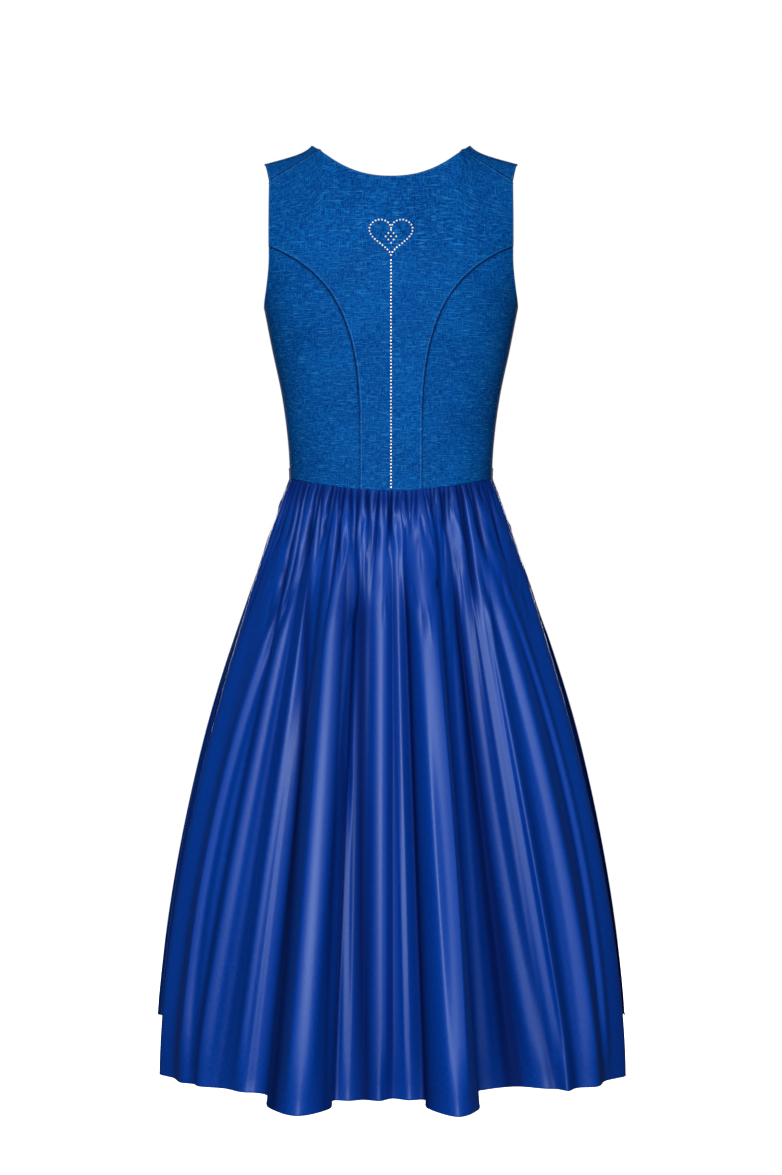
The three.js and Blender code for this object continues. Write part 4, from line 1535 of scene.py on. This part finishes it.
@dataclass
class Stitching:
    """Rows of stitches along lines on the cloth."""

    name: str
    lines: list[Points]
    thread: Thread
    slot: str
    pitch: float = 3.1
    length: float = 2.7
    radius: float = 0.27

    def build(self) -> bpy.types.Object:
        """Makes the stitches as one piece."""
        vertices = np.concatenate(self.lines) * MM
        mesh = bpy.data.meshes.new(self.name)
        edges, start = [], 0
        for line in self.lines:
            edges += [(start + k, start + k + 1) for k in range(len(line) - 1)]
            start += len(line)
        mesh.from_pydata(vertices.tolist(), edges, [])
        base = in_scene(self.name, mesh)
        sizes = {"Pitch": self.pitch * MM, "Half Length": self.length / 2 * MM, "Radius": self.radius * MM}
        pattern = Pattern(f"{self.name}_pattern", sizes)
        curve = pattern.node("GeometryNodeMeshToCurve", {}, {"Mesh": pattern.entry.outputs[0]})
        steps = pattern.node(
            "GeometryNodeResampleCurve",
            {"mode": "LENGTH"},
            {"Curve": curve.outputs[0], "Length": pattern.size("Pitch")},
        )
        ball = pattern.node("GeometryNodeMeshUVSphere", {}, {"Segments": 6, "Rings": 4, "Radius": 1.0})
        scale = pattern.node(
            "ShaderNodeCombineXYZ",
            {},
            {0: pattern.size("Radius"), 1: pattern.size("Radius"), 2: pattern.size("Half Length")},
        )
        stitch = pattern.node(
            "GeometryNodeTransform", {}, {"Geometry": ball.outputs[0], "Scale": scale.outputs[0]}
        )
        tangent = pattern.node("GeometryNodeInputTangent", {}, {})
        turn = pattern.node(
            "FunctionNodeAlignRotationToVector", {"axis": "Z"}, {"Vector": tangent.outputs[0]}
        )
        placed = pattern.node(
            "GeometryNodeInstanceOnPoints",
            {},
            {"Points": steps.outputs[0], "Instance": stitch.outputs[0], "Rotation": turn.outputs[0]},
        )
        pattern.finish(placed.outputs[0], self.thread.make())
        made = pattern.apply(base)
        return Garment.keep(made, None, self.slot)


@dataclass
class Stones:
    """The stones down the centre back, and the small heart over them."""

    garment: Garment
    heart_width: float = 50.0
    heart_height: float = 42.0
    heart_low: float = -140.0
    waist_end: float = -411.5
    # A stone's flat top as a share of its radius, its height, and how far it is sunk in the cloth
    table: float = 0.55
    height: float = 0.95
    sunk: float = 0.1

    def _heart(self) -> Points:
        """Returns (x, z) of the heart outline's stones, evenly spaced along it."""
        t = np.linspace(0, 2 * math.pi, 721)
        x = 16 * np.sin(t) ** 3
        z = 13 * np.cos(t) - 5 * np.cos(2 * t) - 2 * np.cos(3 * t) - np.cos(4 * t)
        across, up = x / 32 * self.heart_width, (z + 17) / 29 * self.heart_height + self.heart_low
        line = np.stack([across, up], axis=1)
        length = np.concatenate([[0], np.cumsum(np.linalg.norm(np.diff(line, axis=0), axis=1))])
        count = round(length[-1] / STONE_PITCH)
        spots = np.arange(count) / count * length[-1]
        return np.stack([np.interp(spots, length, line[:, k]) for k in (0, 1)], axis=1)

    def _places(self) -> Points:
        """Returns (x, z) of all the stones."""
        down = np.arange(STONE_LINE_TOP, self.waist_end, -STONE_PITCH)
        line = np.stack([0 * down, down], axis=1)
        middle = self.heart_low + self.heart_height * 0.52
        size = STONE_PITCH
        corners = [(0, 2), (1, 1), (2, 0), (1, -1), (0, -2), (-1, -1), (-2, 0), (-1, 1), (0, 0)]
        diamond = np.array([(x * size * 0.8, middle + z * size) for x, z in corners])
        return np.concatenate([line, self._heart(), diamond])

    def build(self) -> bpy.types.Object:
        """Makes the stones as one piece, each standing on the cloth."""
        places = self._places()
        x, z = places[:, 0], places[:, 1]
        lengths = Figure.cloth_length(x, z)
        step = 0.5
        moves = ((0, 0), (step, 0), (0, step))
        spot = [Figure.over_shoulder(x + a, lengths + b, Side.BEHIND) for a, b in moves]
        facing = unit(np.cross(spot[1] - spot[0], spot[2] - spot[0]))
        facing = facing * np.sign(facing[:, 1:2])
        points = spot[0] + facing * (BODICE_WALL - self.sunk)
        name = "centre_back_stones"
        mesh = bpy.data.meshes.new(name)
        mesh.from_pydata((points * MM).tolist(), [], [])
        layer = mesh.attributes.new("facing", "FLOAT_VECTOR", "POINT")
        layer.data.foreach_set("vector", facing.astype(np.float32).ravel())
        base = in_scene(name, mesh)
        sizes = {
            "Radius": STONE_RADIUS * MM,
            "Table Radius": STONE_RADIUS * self.table * MM,
            "Height": self.height * MM,
        }
        pattern = Pattern(f"{name}_pattern", sizes)
        cone = pattern.node(
            "GeometryNodeMeshCone",
            {"fill_type": "TRIANGLE_FAN"},
            {
                "Vertices": 10,
                "Radius Bottom": pattern.size("Radius"),
                "Radius Top": pattern.size("Table Radius"),
                "Depth": pattern.size("Height"),
            },
        )
        facing_in = pattern.node(
            "GeometryNodeInputNamedAttribute", {"data_type": "FLOAT_VECTOR"}, {"Name": "facing"}
        )
        turn = pattern.node(
            "FunctionNodeAlignRotationToVector", {"axis": "Z"}, {"Vector": facing_in.outputs[0]}
        )
        placed = pattern.node(
            "GeometryNodeInstanceOnPoints",
            {},
            {
                "Points": pattern.entry.outputs[0],
                "Instance": cone.outputs[0],
                "Rotation": turn.outputs[0],
            },
        )
        pattern.finish(placed.outputs[0], self.garment.stone.make())
        made = pattern.apply(base)
        return Garment.keep(made, None, "button_metal")


@dataclass
class Buttons:
    """The buttons down the front."""

    garment: Garment
    sides: int = 48

    def build(self) -> None:
        """Makes the buttons, each a turned disc with a rim, in its node's place."""
        metal = self.garment.metal.make()
        r, h = BUTTON_RADIUS, BUTTON_HEIGHT
        profile = np.array(
            [
                (0, 0),
                (r * 0.55, 0),
                (r * 0.93, h * 0.22),
                (r * 0.99, h * 0.36),
                (r * 0.985, h * 0.5),
                (r * 0.93, h * 0.6),
                (r * 0.84, h * 0.62),
                (r * 0.78, h * 0.56),
                (r * 0.73, h * 0.62),
                (r * 0.6, h * 0.8),
                (r * 0.42, h * 0.92),
                (r * 0.2, h * 0.985),
                (0, h),
            ]
        )
        turns = np.arange(self.sides) / self.sides * 2 * math.pi
        for k in range(BUTTON_COUNT):
            z = np.array([BUTTON_TOP - k * BUTTON_PITCH])
            length = Figure.cloth_length(np.zeros(1), z)
            spot = Figure.over_shoulder(np.zeros(1), length, Side.BEFORE)[0]
            above = Figure.over_shoulder(np.zeros(1), length + 1, Side.BEFORE)[0]
            right = np.array([1.0, 0, 0])
            up = unit(above - spot)
            out = np.cross(right, up)
            out = out if out[1] < 0 else -out
            foot = spot + out * (LAP_LIFT + BODICE_WALL + LAYER_GAP)
            ring = profile[1:-1]
            spokes = np.cos(turns)[None, :, None] * right + np.sin(turns)[None, :, None] * up
            rings = foot + ring[:, None, :1] * spokes + ring[:, None, 1:] * out
            vertices = np.concatenate([rings.reshape(-1, 3), [foot, foot + out * h]]) * MM
            made = self._disc(f"button_{k + 1}_metal", vertices, len(ring))
            self.garment.keep(made, metal, "button_metal", [f"button_{k + 1}"])

    def _disc(self, name: str, vertices: Points, rings: int) -> bpy.types.Object:
        """Makes a closed mesh from rings of vertices and the two middle points after them."""
        mesh = bpy.data.meshes.new(name)
        n, low, high = self.sides, rings * self.sides, rings * self.sides + 1
        faces = []
        for k in range(n):
            after = (k + 1) % n
            faces.append((low, after, k))
            faces.append(((rings - 1) * n + k, (rings - 1) * n + after, high))
            for j in range(rings - 1):
                faces.append((j * n + k, j * n + after, (j + 1) * n + after, (j + 1) * n + k))
        mesh.from_pydata(vertices.tolist(), [], faces)
        mesh.shade_smooth()
        return in_scene(name, mesh)


class Studio:
    """The floor, the lights and the camera."""

    DISTANCE = 3.5
    HEIGHT = -0.524
    LENS = 90.13
    FLOOR = -1.42
    FLOOR_RADIUS = 12.0
    # The place on the dress that the lights point at
    AIM = (0, 0, -0.6)

    def floor(self) -> None:
        """Makes a wide pale floor that glows with painted light, dimmer near the dress and brighter further
        away.
        """
        count = 96
        turns = np.arange(count) / count * 2 * math.pi
        rim = np.stack([np.cos(turns), np.sin(turns)], axis=1) * self.FLOOR_RADIUS
        vertices = np.concatenate([np.column_stack([rim, np.full(count, self.FLOOR)]), [(0, 0, self.FLOOR)]])
        polygons = np.array([(k, (k + 1) % count, count) for k in range(count)])
        made = mesh_object("studio_floor", vertices, polygons)
        nodes = Nodes("studio_paper")
        place = nodes.node("ShaderNodeTexCoord", {}, {}, "Object")
        grain = nodes.noise(place, (60, 60, 60))
        base = nodes.mix(grain, (0.88, 0.88, 0.88, 1), (0.92, 0.92, 0.92, 1))
        away = nodes.node("ShaderNodeVectorMath", {"operation": "LENGTH"}, {0: place}, "Value")
        # Painted light: the floor's glow, weaker near the middle and full from 3 m out
        glow = nodes.mix(nodes.ramp(away, 1.5, 3.0), (0.7, 0.7, 0.7, 1), (1, 1, 1, 1))
        values = {"Base Color": base, "Roughness": 0.9, "Emission Color": glow, "Emission Strength": 1.0}
        made.data.materials.append(nodes.surface(values))
        made.visible_diffuse = False
        made.visible_glossy = False

    @staticmethod
    def light(name: str, place: Sequence[float], size: tuple[float, float], power: float) -> None:
        """Adds a soft rectangular light that points at the dress."""
        data = bpy.data.lights.new(name, "AREA")
        data.shape = "RECTANGLE"
        data.size, data.size_y = size
        data.energy = power
        made = in_scene(name, data)
        made.location = place
        aim = Vector(Studio.AIM) - Vector(place)
        made.rotation_euler = aim.to_track_quat("-Z", "Y").to_euler()
        made.visible_camera = False

    def lights(self) -> None:
        """Lights the dress from the camera's side, in tall soft strips."""
        self.light("key", (0.2, 3.4, 0.25), (1.4, 2.2), 98)
        self.light("strip_left", (2.1, 2.5, 0.2), (0.22, 2.2), 4)
        self.light("strip_right", (-2.1, 2.5, 0.2), (0.22, 2.2), 3.5)
        self.light("front_left", (0.9, -3.4, 0.4), (0.8, 2.2), 60)
        self.light("front_right", (-0.9, -3.4, 0.4), (0.8, 2.2), 60)
        world = bpy.data.worlds.new("studio")
        world.use_nodes = True
        tree = world.node_tree
        background = tree.nodes["Background"]
        background.inputs[0].default_value = (1, 1, 1, 1)
        path = tree.nodes.new("ShaderNodeLightPath")
        reach = tree.nodes.new("ShaderNodeMapRange")
        reach.inputs[3].default_value = 0.03
        reach.inputs[4].default_value = 1.0
        tree.links.new(path.outputs["Is Camera Ray"], reach.inputs[0])
        tree.links.new(reach.outputs[0], background.inputs[1])
        bpy.context.scene.world = world

    def camera(self) -> None:
        """Puts the camera behind the dress, level, as the photograph was taken."""
        data = bpy.data.cameras.new("camera")
        data.lens = self.LENS
        data.sensor_width = 36
        made = in_scene("camera", data)
        made.location = (0, self.DISTANCE, self.HEIGHT)
        made.rotation_euler = (math.pi / 2, 0, math.pi)
        scene = bpy.context.scene
        scene.camera = made
        scene.view_settings.view_transform = "Standard"
        scene.view_settings.look = "None"


def main() -> None:
    """Builds the dress and its studio."""
    logging.basicConfig(level=logging.INFO, format="%(name)s: %(message)s")
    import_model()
    studio = Studio()
    studio.camera()
    garment = Garment()
    Bodice(garment).build()
    Bottom(garment).build()
    Buttons(garment).build()
    Stones(garment).build()
    Stitching("bodice_stitches", garment.sewing, garment.blue_thread, "bodice_cloth").build()
    Stitching("apron_stitches", garment.hems, garment.deep_thread, "apron_cloth").build()
    studio.floor()
    studio.lights()


if __name__ == "__main__":
    main()
